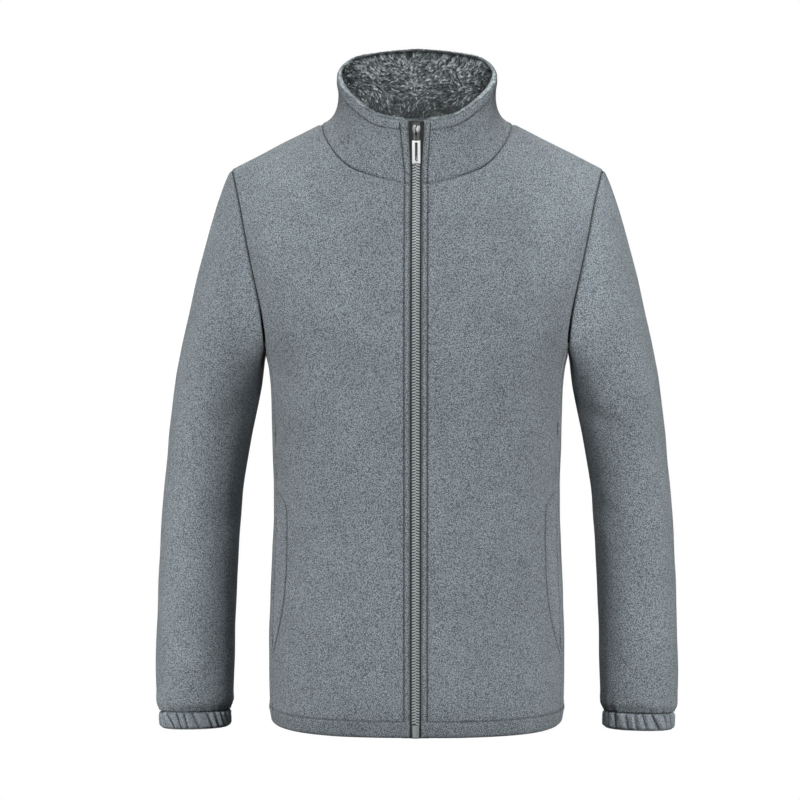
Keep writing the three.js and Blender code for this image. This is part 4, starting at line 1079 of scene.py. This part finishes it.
def halfCollar(columns, flare):
    k = collarSet
    t = np.linspace(0, 1, 161)
    points, fromSeamLine, fromRim = [], [], []
    for along in columns:
        wider = along + flare * t ** 1.4 * min(along / relief["placket"], 1) * (1 - float(ramp(along, 6, 44)))
        length = alongLine(collarPoint(wider, t))
        first, last = np.array(k["seam"]), length[-1] - np.array(k["rim"])
        at = np.concatenate([first, np.linspace(first[-1], last[0], k["rows"] + 2)[1:-1], last])
        points.append(collarPoint(np.interp(at, length, wider), np.interp(at, length, t)))
        fromSeamLine.append(at)
        fromRim.append(length[-1] - at)
    return [np.array(a).swapaxes(0, 1) for a in (points, fromSeamLine, fromRim)]


def collarGrid():
    k = collarSet
    columns = np.concatenate([k["nearZip"], np.linspace(k["nearZip"][-1], neckLength, k["columns"] + 1)[1:]])
    left, right = (halfCollar(columns, k["flare"][side]) for side in (1, -1))
    right = [a[:, -2::-1] * ([-1, 1, 1] if a.ndim == 3 else 1) for a in right]
    side = np.concatenate([np.ones(len(columns)), -np.ones(len(columns) - 1)])
    grids = [np.concatenate([a, b], 1) for a, b in zip(left, right)]
    return (*grids, np.concatenate([columns, columns[-2::-1]]), side)


collarFace, collarUp, collarDown, collarAlong, collarSide = collarGrid()
collarOut = gridOut(collarFace)
height = foldedEdge(collarAlong[None, :], relief["placket"]) * ramp(collarDown, 1, 4) * ramp(collarUp, 1, 3)
height = height * ramp(collarDown, 12, 14) + foldedEdge(collarDown, relief["rim"])
height -= relief["seamDip"] * bell(collarUp, relief["seamWidth"])
# painted shade in the placket's groove, the rim's row of stitches (uneven along it) and the neck seam
uneven = ramp(collarAlong, 3, 6) * (0.7 + 0.5 * np.sin(collarAlong / 5.5))
paintedShade = np.maximum.reduce([
    foldedShade(collarAlong[None, :], relief["placket"]) * ramp(collarDown, 1, 4),
    0.3 * foldedShade(collarDown, relief["rim"]) * uneven[None, :],
    relief["seamShade"] * bell(collarUp, relief["shadeWidth"])
    * (0.12 + 0.88 * ramp(collarAlong, 16, 80))[None, :]])
lift = collarUp / (collarUp + collarDown)
soft = np.zeros_like(height)
for side, creases in collarSet["creases"].items():
    scaled = [(x, 85 * share, *rest) for x, share, *rest in creases]
    creased = creaseOf(collarAlong[None, :], 85 * lift, scaled)
    soft += creased * (collarSide == side) * ramp(neckLength - collarAlong, 0, 20)
soft = (soft + swellOf(collarFace)) * ramp(collarUp, 1, 8) * ramp(collarDown, 12, 22) * ramp(collarAlong, 7, 16)
outer = collarFace + collarOut * (height + soft)[..., None]
inner = collarFace - collarOut * cut["cloth"]
piece = clothShell("cloth_collar", outer, inner, paintedShade, bulge=0.9)
attach(piece, fleece, ["collar"])
declareSheet(outer)
column, row = collarSet["stitchColumn"], collarSet["rimRow"]
for c in (column, -1 - column):
    stitchLines.append((outer[1:row + 1, c], collarOut[1:row + 1, c]))
stitchLines.append((outer[row, column:-column], collarOut[row, column:-column]))
print("collar made")


# Collar lining: a bumpy back cloth that carries the pile
liningSet = {"behind": 3.3, "back": 1.4, "lumps": 0.7, "fromZip": 8.9, "fromSeam": 7.0, "over": 1.2}


def liningGrid():
    k = liningSet
    columns = np.linspace(k["fromZip"], neckLength, 62)
    t = np.linspace(0, 1, 161)
    face = []
    for along in columns:
        length = alongLine(collarPoint(along, t))
        at = np.linspace(k["fromSeam"], length[-1], 30)
        face.append(collarPoint(along, np.interp(at, length, t)))
    face = np.array(face).swapaxes(0, 1)
    face = np.concatenate([face, face[:, -2::-1] * [-1, 1, 1]], 1)
    outs = gridOut(face)
    rise = k["over"] * np.array([0.35, 0.65, 0.88, 1.0])[:, None, None] * [0, 0, 1]
    face = np.concatenate([face, face[-1] + rise])
    outs = np.concatenate([outs, np.repeat(outs[-1:], 4, 0)])
    x, y, z = face[..., 0], face[..., 1], face[..., 2]
    lumps = k["lumps"] * np.sin(x / 1.9 + np.sin(z / 2.7)) * np.cos(z / 1.7 + y / 2.3)
    front = face - outs * k["behind"]
    behind = face - outs * (k["behind"] + k["back"] + 0.5 * lumps)[..., None]
    over = np.array([0.1, 0.35, 0.8, 1.3])
    front[-4:] -= outs[-4:] * over[:, None, None] * 0.5
    return front, behind, -outs


liningOuter, liningInner, liningIn = liningGrid()
piece = clothShell("plush_back", liningOuter, liningInner)
attach(piece, plushBack, ["collar_lining"])
declareSheet(liningOuter)


# Pile of the lining: strands in curled tufts
pileSet = {
    "strands": 64000, "rimShare": 0.17, "tufts": 11000, "rimTufts": 2600,
    "length": (4.2, 7.6), "height": (1.2, 2.8), "curl": 0.7, "gather": 0.7,
    "width": (0.44, 0.72, 0.62, 0.12), "reach": (0, 0.36, 0.70, 1.0),
    # painted shade along each strand, darkest at its root
    "shadedTones": (0.0, 0.10, 0.38, 0.72),
    "over": (1.5, 6.2), "bow": 2.4,      # how far the pile falls over the front and side rims, and how high
    # swirls: side to side, height, spin in radians and size, in millimetres
    "swirls": [(-3, 44, 1.2, 26), (-44, 62, -0.9, 20), (38, 58, 1.0, 22), (14, 74, -0.7, 15), (-22, 20, 0.9, 18),
               (52, 18, -0.9, 20), (-62, 24, 0.9, 18), (24, 28, 1.0, 16)],
}


# Random places on a stretch of rows of the lining's inner face, evenly over its area
def spotsOnLining(count, first, last):
    p, n = liningInner[first:last], liningIn[first:last]
    a, b = p[1:, 1:] - p[:-1, :-1], p[1:, :-1] - p[:-1, 1:]
    area = np.linalg.norm(np.cross(a, b), axis=2)
    cell = chance.choice(area.size, count, p=(area / area.sum()).ravel())
    r, c = np.divmod(cell, area.shape[1])
    u, v = chance.random((2, count, 1))

    def blend(grid):
        low = grid[r, c] * (1 - u) + grid[r, c + 1] * u
        high = grid[r + 1, c] * (1 - u) + grid[r + 1, c + 1] * u
        return low * (1 - v) + high * v

    return blend(p), unit(blend(n)), unit(p[r, c + 1] - p[r, c])


# Which way the pile lies, as an angle from level, swept round the swirls
def pileLean(points):
    x, z = points[:, 0], points[:, 2]
    angle = -1.6 + x / 75 + 0.45 * np.sin(x / 13 + 0.6 * np.sin(z / 11)) + 0.5 * np.cos(z / 12 + x / 29)
    for cx, cz, spin, size in pileSet["swirls"]:
        far = np.hypot(x - cx, z - cz)
        around = np.arctan2(z - cz, x - cx)
        angle = angle + (spin * np.cos(around) + spin * 0.5) * bell(far, size)
    return angle


def pileStrands(name, side):
    k = pileSet
    inside = int(k["strands"] * (1 - k["rimShare"]))
    top = liningInner.shape[0]
    parts = [(inside, k["tufts"], 0, top - 3, False),
             (k["strands"] - inside, k["rimTufts"], top - 5, top, True)]
    lines, lineTones = [], []
    for count, tufts, firstRow, lastRow, isRim in parts:
        middle, middleIn, middleAcross = spotsOnLining(tufts, firstRow, lastRow)
        root, rootIn, _ = spotsOnLining(count, firstRow, lastRow)
        keep = root[:, 0] * side > 0
        root, rootIn = root[keep], rootIn[keep]
        tree = KDTree(tufts)
        for i, p in enumerate(middle):
            tree.insert(p, i)
        tree.balance()
        tuft = np.array([tree.find(p)[1] for p in root])
        lean = pileLean(middle) + chance.normal(0, 0.30, tufts)
        long = chance.uniform(*k["length"], tufts)
        high = chance.uniform(*k["height"], tufts)
        tone = np.clip(np.exp(chance.normal(-0.45, 1.05, tufts)), 0.04, 3.0)
        curl = chance.choice([-1, 1], tufts) * chance.uniform(0.5, 1.2, tufts) * k["curl"]
        up = np.cross(middleAcross, -middleIn)
        up *= np.sign(up[:, 2:3] + 1e-9)
        way = middleAcross * np.cos(lean)[:, None] + up * np.sin(lean)[:, None]
        bow = middleIn * high[:, None]
        tip = middle + way * long[:, None] + bow
        if isRim:                                # at the sides and front the pile falls over the rim
            low = 1 - ramp(middle[:, 2:3], 40, 86)
            back = middle + middleIn * chance.uniform(0.2, 3.4, (tufts, 1)) + [0, 0, 0.9]
            out = middle - middleIn * chance.uniform(*k["over"], (tufts, 1))
            out[:, 2:] += chance.uniform(0.2, 2.4, (tufts, 1))
            tip = back + (out - back) * low + middleAcross * chance.normal(0, 1.6, (tufts, 1))
            bow = bow * 0.4 * (1 - low) + np.array([0, 0, k["bow"]]) * low
            # painted light: the rim's strands are painted lighter, most at the front and sides where they fall over
            # the rim
            tone = tone * 0.8 + 0.25 + 0.5 * low[:, 0]
        n = len(root)
        own = unit(chance.normal(0, 1, (n, 3)))
        target = tip[tuft] + (root - middle[tuft]) * (1 - k["gather"]) + own * 0.9
        first = root + bow[tuft] * 0.75 + (target - root) * 0.12 + own * 0.4
        sideways = unit(np.cross(target - root, rootIn)) * (curl[tuft] * chance.uniform(0.6, 1.3, n))[:, None]
        second = root + (target - root) * 0.62 + bow[tuft] * 0.8 + sideways
        t = np.array(k["reach"])[:, None, None]
        line = root * (1 - t) ** 3 + first * 3 * t * (1 - t) ** 2 + second * 3 * t * t * (1 - t) + target * t ** 3
        flat = unit(rootIn + 0.55 * own)
        across = unit(np.cross(np.gradient(line, axis=0), flat))
        wide = across * np.array(k["width"])[:, None, None] * chance.uniform(0.75, 1.25, (n, 1))
        lines.append(np.stack([line - wide / 2, line + wide / 2], 2).transpose(1, 0, 2, 3))
        depth = 1.0 if isRim else 0.12 + 1.0 * ramp(root[:, 2], 8, 98)     # painted shade: less light gets deep into the neck
        strand = tone[tuft] * chance.uniform(0.5, 1.35, n) * depth
        # painted shade darkens each strand to its root over its random tone; the rim's strands are painted lighter
        # as light
        bright = np.array(k["shadedTones"])[:, None] * strand + (0.28 if isRim else 0)
        lineTones.append(np.repeat(bright.T[..., None], 2, 2))
    verts, shadedTones = np.concatenate(lines), np.concatenate(lineTones)
    start = (np.arange(len(verts)) * 8)[:, None, None]
    strip = np.array([[0, 1, 3, 2], [2, 3, 5, 4], [4, 5, 7, 6]])[None]
    made = makeMesh(name, verts.reshape(-1, 3), (start + strip).reshape(-1, 4))
    shade = np.clip(shadedTones.reshape(-1), 0, 1)
    made.data.attributes.new("tone", "FLOAT", "POINT").data.foreach_set("value", shade.astype(np.float32))
    return made


for word, side in sides:
    attach(pileStrands(f"plush_pile_{word}", side), pile)
print("collar lining and pile made")


# Pocket facings
facingSet = {"underlap": 5.0, "drop": 3.9, "sag": 1.6, "thick": 2.4, "low": -595.0, "high": -415.0}


def facingGrid():
    k = facingSet
    z = np.linspace(k["low"], k["high"], 64)[:, None]
    mouth = mouthAngle(z)
    share = np.concatenate([np.linspace(0, 0.9, 15), [0.94, 0.97, 0.99, 1]])
    angle = mouth - k["underlap"] + (cut["sideSeam"] - 0.12 - mouth + k["underlap"]) * share
    level = np.broadcast_to(levelAtZ(z), angle.shape)
    ajar = np.sin(np.pi * (z - k["low"]) / (k["high"] - k["low"]))
    sunk = k["drop"] * (1 - ramp(angle, mouth, cut["sideSeam"])) + k["sag"] * ajar * np.sin(np.pi * share)
    face, outs = bodyPoint(angle, level), bodyOut(angle, level)
    dip = seamDip(face, ["side"])
    # painted shade: the pocket is darker just under the front's edge, more where the mouth stands open, and in the
    # side seam
    paintedShade = np.maximum(0.92 * (1 - ramp(angle - mouth, 0.2, 2.2)) * (0.55 + 0.45 * ajar),
                       0.8 * nearSeam(face, ["side"], relief["shadeWidth"]))
    return face + outs * (dip - sunk)[..., None], face - outs * (sunk + k["thick"])[..., None], paintedShade


outer, inner, paintedShade = facingGrid()
for word, side in sides:
    piece = clothShell(f"cloth_facing_{word}", outer * [side, 1, 1], inner * [side, 1, 1], paintedShade)
    attach(piece, fleece, [f"pocket_facing_{word}"])
    declareSheet(outer)
print("pocket facings made")


# Zip: its line runs up the middle of the front and of the collar
zipSet = {
    "bottom": cut["hemZ"] - 1.5, "boxHeight": 14.5, "toothPitch": 3.2, "toothDepth": 2.3, "toothThick": 2.6,
    "tapeDepth": 3.5, "tapeThick": 0.9,
    "tapeAcross": [0.12, 0.8, 1.5, 2.4, 3.2, 3.9, 4.5, 5.0, 6.2, 8, 10, 12.5, 15.0],
    "spread": 5.5, "sliderTop": -2.5, "sliderLength": 17.0,
}
zipLevels = np.concatenate([levelAtZ(np.linspace(cut["hemZ"], cut["underarmZ"], 90)),
                            np.linspace(0, frontNeck[1][0], 60)[1:]])
zipLifts = np.linspace(0.1, 1, 40)
zipPoints = np.concatenate([bodyPoint(0, zipLevels), collarPoint(0, zipLifts) * [0, 1, 1]])
zipPoints[0, 2] = zipSet["bottom"]
zipTangent = unit(np.gradient(zipPoints, axis=0))
zipOut = unit(np.cross(np.array([1.0, 0, 0]), zipTangent))
zipAt = alongLine(zipPoints)


def zipPlace(at):
    grids = (zipPoints, zipTangent, zipOut)
    return tuple(np.stack([np.interp(at, zipAt, grid[:, k]) for k in range(3)], -1) for grid in grids)


def zipAtZ(z):
    return float(np.interp(z, zipPoints[:, 2], zipAt))


def tapeGrid():
    k = zipSet
    x = np.array(k["tapeAcross"])
    level = np.repeat(zipLevels[:, None], len(x), 1)
    angle = angleAtX(x[None, :], level)
    low, lowOut = bodyPoint(angle, level), bodyOut(np.maximum(angle, 0.5), level)
    edge, far = collarPoint(0, zipLifts), collarPoint(8, zipLifts)
    splay = k["spread"] * ramp(zipLifts, 0.78, 1)[:, None]
    xs = x[None, :] + splay * (1 - (x[None, :] - x[0]) / (x[-1] - x[0]))
    t = (xs - edge[:, :1]) / (far[:, :1] - edge[:, :1])
    high = edge[:, None] + (far - edge)[:, None] * t[..., None]
    highOut = np.repeat(gridOut(np.stack([edge, far], 1))[:, :1], len(x), 1)
    face, outs = np.concatenate([low, high]), unit(np.concatenate([lowOut, highOut]))
    face[0, :, 2] = k["bottom"]
    cord = 0.5 * bell(x - 2.2, 1.0)                  # the woven edge that the teeth grip
    depth = (k["tapeDepth"] - cord)[None, :, None]
    # painted shade on the tape under the fronts' edges, in the gap between the tapes and under the slider
    shadeUnderFronts = ramp(x, 3.9, 5.0) + 0.8 - 0.8 * ramp(x, 0.5, 1.6)
    shadeUnderSlider = np.concatenate([np.zeros(len(zipLevels)), ramp(zipLifts, 0.62, 0.8)])
    paintedShade = np.maximum(shadeUnderFronts[None, :], shadeUnderSlider[:, None])
    return face - outs * depth, face - outs * (k["tapeDepth"] + k["tapeThick"]), paintedShade


outer, inner, paintedShade = tapeGrid()
for word, side in sides:
    piece = clothShell(f"tape_{word}", outer * [side, 1, 1], inner * [side, 1, 1], paintedShade, bulge=0.15)
    attach(piece, tapeWeave, [f"zip_tape_{word}"])
    declareSheet(outer)


def bevelEdges(piece, width, segments):
    step = piece.modifiers.new("bevel", "BEVEL")
    step.width = width * mm
    step.segments = segments
    step.limit_method = "ANGLE"
    pick(piece)
    bpy.ops.object.modifier_apply(modifier=step.name)


# A block between two corners, in millimetres
def addBlock(name, low, high):
    bpy.ops.object.select_all(action="DESELECT")
    bpy.ops.mesh.primitive_cube_add(size=1)
    made = bpy.context.object
    made.name = name
    low, high = np.array(low, float), np.array(high, float)
    for v in made.data.vertices:
        v.co = Vector((low + (high - low) * (np.array(v.co) + 0.5)) * mm)
    return made


# Cuts the whole piece in edit mode at a plane across one axis
def cutAcross(axis, at):
    bpy.ops.mesh.select_all(action="SELECT")
    place, way = [0, 0, 0], [0, 0, 0]
    place[axis], way[axis] = at * mm, 1
    bpy.ops.mesh.bisect(plane_co=place, plane_no=way)


# Selects the faces whose middle and normal pass a test, and stays in edit mode
def selectFaces(piece, test):
    bpy.ops.object.mode_set(mode="OBJECT")
    for part in (piece.data.vertices, piece.data.edges, piece.data.polygons):
        part.foreach_set("select", [False] * len(part))
    for face in piece.data.polygons:
        face.select = bool(test(np.array(face.center) / mm, np.array(face.normal)))
    bpy.ops.object.mode_set(mode="EDIT")


def push(x=0.0, y=0.0, z=0.0):
    bpy.ops.mesh.extrude_region_move(TRANSFORM_OT_translate={"value": (x * mm, y * mm, z * mm)})


def joinParts(name, parts):
    bpy.ops.object.select_all(action="DESELECT")
    for part in parts:
        part.select_set(True)
    bpy.context.view_layer.objects.active = parts[0]
    bpy.ops.object.join()
    parts[0].name = name
    return parts[0]


# Copies one shape to many places, as one mesh
def copyAlong(name, shape, origins, axes):
    verts = np.array([v.co for v in shape.data.vertices]) / mm
    faces = [list(f.vertices) for f in shape.data.polygons]
    placed = np.einsum("vk,nkj->nvj", verts, axes) + origins[:, None]
    copied = [[i + n * len(verts) for i in face] for n in range(len(origins)) for face in faces]
    mesh = bpy.data.meshes.new(name)
    mesh.from_pydata((placed.reshape(-1, 3) * mm).tolist(), [], copied)
    made = bpy.data.objects.new(name, mesh)
    bpy.context.scene.collection.objects.link(made)
    return made


# Leans a piece made upright round X and moves it to its place
def settle(piece, lean, spot, smoothAngle=40):
    piece.data.transform(Euler((math.radians(lean), 0, 0)).to_matrix().to_4x4())
    for v in piece.data.vertices:
        v.co += Vector(spot) * mm
    pick(piece)
    bpy.ops.object.shade_smooth_by_angle(angle=math.radians(smoothAngle))
    return piece


# One tooth: foot on the tape's edge, neck, and a wider head that reaches between its neighbours
toothSet = {
    "foot": 4.2, "neck": 3.2, "hook": 1.3, "head": -0.1, "rise": 1.0,
    "footHalf": 0.64, "neckHalf": 0.6, "headHalf": 0.8,
}


def makeTooth():
    k = toothSet
    half = zipSet["toothThick"] / 2
    made = addBlock("tooth", (k["neck"], -half, -k["footHalf"]), (k["foot"], half, k["footHalf"]))
    selectFaces(made, lambda at, n: n[0] < -0.9)
    push(x=k["hook"] - k["neck"])
    push(x=k["head"] - k["hook"])
    bpy.ops.object.mode_set(mode="OBJECT")
    for v in made.data.vertices:
        if v.co.x < (k["neck"] - 0.1) * mm:
            tall = k["headHalf"] if v.co.x < (k["hook"] + 0.1) * mm else k["neckHalf"]
            v.co.z = math.copysign(tall * mm, v.co.z)
            v.co.y *= 0.94
        v.co.z += k["rise"] * (k["foot"] * mm - v.co.x) / (k["foot"] - k["head"])
    bevelEdges(made, 0.2, 1)
    return made


boxTop = zipSet["bottom"] + zipSet["boxHeight"]
tooth = makeTooth()
for k, (word, side) in enumerate(sides):
    first = zipAtZ(boxTop) + 1.4 + k * zipSet["toothPitch"] / 2
    at = np.arange(first, zipAtZ(zipSet["sliderTop"] - zipSet["sliderLength"] / 2), zipSet["toothPitch"])
    place, tangent, out = zipPlace(at)
    axes = np.stack([np.broadcast_to([float(side), 0, 0], tangent.shape), -out, tangent], 1)
    middle = place - out * (zipSet["toothDepth"] + zipSet["toothThick"] / 2)
    piece = copyAlong(f"teeth_{word}", tooth, middle, axes)
    outwards(piece)
    bpy.ops.object.shade_smooth_by_angle(angle=math.radians(40))
    attach(piece, resin, ["zip_chain"])
bpy.data.objects.remove(tooth)
print("teeth made")


# Box at the zip's foot: a moulded block with the pin's channel beside it
def makeZipBox():
    half = zipSet["boxHeight"] / 2
    block = addBlock("zip_foot", (-3.6, -1.9, -half), (3.6, 1.9, half))
    pick(block)
    bpy.ops.object.mode_set(mode="EDIT")
    cutAcross(0, 0.5)
    cutAcross(0, 1.1)
    cutAcross(2, -4.4)
    selectFaces(block, lambda at, n: n[1] < -0.9 and 0.5 < at[0] < 1.1 and at[2] > -4.4)
    push(y=1.2)
    selectFaces(block, lambda at, n: n[1] < -0.9 and at[2] < -4.4)
    push(y=-0.5)
    bpy.ops.object.mode_set(mode="OBJECT")
    bevelEdges(block, 0.3, 2)
    place, _, out = zipPlace(zipAtZ(zipSet["bottom"] + half))
    lean = math.degrees(math.atan2(out[2], -out[1]))
    return settle(block, -lean, place - out * 3.5, 35)


attach(makeZipBox(), footResin, ["zip_box"])


# Slider: two shield plates, a post between them and an arch for the pull
sliderSet = {
    "halfWidth": 5.6, "plate": 1.2, "frontY": 0.7, "backY": 5.2, "postHalf": 1.1,
    "spot": (0.0, -79.39, -11.0), "lean": -4.04,
    "shield": [(-0.72, -1), (0.72, -1), (0.8, 0), (1, 0.55), (0.62, 1), (-0.62, 1), (-1, 0.55), (-0.8, 0)],
    # depth and height of the arch's middle line, in front of the front plate
    "arch": [(0.3, -3.0), (-2.6, -2.9), (-3.6, -1.8), (-4.0, 0.2), (-4.0, 3.2), (-3.6, 5.2), (-2.6, 6.3),
             (0.3, 6.5)],
    "archHalf": 1.2, "archThick": 0.5,
}


def makeShield(name, y):
    k = sliderSet
    bpy.ops.object.select_all(action="DESELECT")
    bpy.ops.mesh.primitive_circle_add(vertices=8, fill_type="NGON")
    made = bpy.context.object
    made.name = name
    for v, (x, z) in zip(made.data.vertices, k["shield"]):
        v.co = Vector((x * k["halfWidth"], y, z * zipSet["sliderLength"] / 2)) * mm
    bpy.ops.object.mode_set(mode="EDIT")
    bpy.ops.mesh.select_all(action="SELECT")
    push(y=k["plate"])
    bpy.ops.object.mode_set(mode="OBJECT")
    outwards(made)
    bevelEdges(made, 0.42, 3)
    return made


# A bar swept along a line in the upright middle plane, with a rounded section
def makeBar(name, line, halfWidth, halfThick):
    line = np.array(line, float)
    t = np.linspace(0, len(line) - 1, 31)
    y, z = (np.interp(t, np.arange(len(line)), line[:, k]) for k in range(2))
    for _ in range(3):
        y[1:-1], z[1:-1] = (y[:-2] + 2 * y[1:-1] + y[2:]) / 4, (z[:-2] + 2 * z[1:-1] + z[2:]) / 4
    along = unit(np.stack([np.gradient(y), np.gradient(z)], -1))
    ring = np.radians(np.arange(12) * 30 + 15)
    wide, thick = halfWidth * signedPower(np.cos(ring), 0.6), halfThick * signedPower(np.sin(ring), 0.6)
    points = np.zeros((len(t), 12, 3))
    points[..., 0] = wide
    points[..., 1] = y[:, None] + along[:, 1:] * thick
    points[..., 2] = z[:, None] - along[:, :1] * thick
    size = len(t) * 12
    faces = gridFaces(len(t), 12, 0, True).tolist() + [list(range(12))[::-1], list(range(size - 12, size))]
    mesh = bpy.data.meshes.new(name)
    mesh.from_pydata((points.reshape(-1, 3) * mm).tolist(), [], faces)
    made = bpy.data.objects.new(name, mesh)
    bpy.context.scene.collection.objects.link(made)
    outwards(made)
    return made


def makeSlider():
    k = sliderSet
    low, high = (-k["postHalf"], k["frontY"] + 0.4, 2.4), (k["postHalf"], k["backY"] + 0.4, 8.2)
    post = addBlock("slider_post", low, high)
    bevelEdges(post, 0.3, 2)
    arch = makeBar("slider_arch", [(k["frontY"] + y, z) for y, z in k["arch"]], k["archHalf"], k["archThick"])
    parts = [makeShield("slider_front", k["frontY"]), makeShield("slider_back", k["backY"]), post, arch]
    return settle(joinParts("slider", parts), k["lean"], k["spot"])


attach(makeSlider(), enamel, ["zip_slider"])


# Pull: a link through the arch and a flat tab with a long slot
pullSet = {
    "thick": 1.5, "linkHalf": 3.1, "linkLength": 9.5, "bar": 1.3, "half": 4.7, "length": 25.5, "slot": 1.5,
    "spot": (0.0, -80.25, -10.44), "lean": -3.4,
}


def cutWindow(piece, x, low, high):
    pick(piece)
    bpy.ops.object.mode_set(mode="EDIT")
    for axis, at in ((0, -x), (0, x), (2, low), (2, high)):
        cutAcross(axis, at)
    selectFaces(piece, lambda at, n: abs(n[1]) > 0.9 and abs(at[0]) < x and low < at[2] < high)
    bpy.ops.mesh.bridge_edge_loops()
    bpy.ops.object.mode_set(mode="OBJECT")


def makePull():
    k = pullSet
    half, neck = k["thick"] / 2, -k["linkLength"]
    link = addBlock("pull_link", (-k["linkHalf"], -half, neck - 0.5), (k["linkHalf"], half, 0.75))
    cutWindow(link, k["linkHalf"] - k["bar"], neck + 1.6, -0.75)
    tab = addBlock("pull_plate", (-k["half"], -half, neck - k["length"]), (k["half"], half, neck))
    cutWindow(tab, k["slot"], neck - k["length"] + 2.2, neck - 2.2)
    for part in (link, tab):
        bevelEdges(part, 0.4, 3)
        settle(part, k["lean"], k["spot"])
    return link, tab


for part, finish in zip(makePull(), (enamel, nickel)):
    attach(part, finish, ["zip_pull"], body="pull_tab")
print("slider and pull made")


# Stitches: one small loop of thread, copied along every stitched line
stitchSet = {"pitch": 3.1, "long": 1.15, "thick": 0.27, "lift": 0.12}


def makeStitches():
    k = stitchSet
    bpy.ops.object.select_all(action="DESELECT")
    bpy.ops.mesh.primitive_uv_sphere_add(segments=6, ring_count=5, radius=1)
    stitch = bpy.context.object
    for v in stitch.data.vertices:
        full = math.copysign(abs(v.co.z) ** 0.7, v.co.z)
        v.co = Vector((v.co.x * k["thick"], v.co.y * k["thick"], full * k["long"])) * mm
    origins, axes = [], []
    for line, out in stitchLines:
        length = alongLine(line)
        at = np.arange(k["pitch"] / 2, length[-1], k["pitch"])
        at = at + chance.normal(0, 0.12, len(at))
        point = np.stack([np.interp(at, length, line[:, j]) for j in range(3)], -1)
        away = unit(np.stack([np.interp(at, length, out[:, j]) for j in range(3)], -1))
        ahead = unit(np.stack([np.interp(at, length, np.gradient(line[:, j], length)) for j in range(3)], -1))
        ahead = unit(ahead + chance.normal(0, 0.05, ahead.shape))
        origins.append(point + away * k["lift"])
        axes.append(np.stack([unit(np.cross(ahead, away)), away, ahead], 1))
    made = copyAlong("stitches", stitch, np.concatenate(origins), np.concatenate(axes))
    bpy.data.objects.remove(stitch)
    made.data.shade_smooth()
    return made


attach(makeStitches(), thread)
print("stitches made")
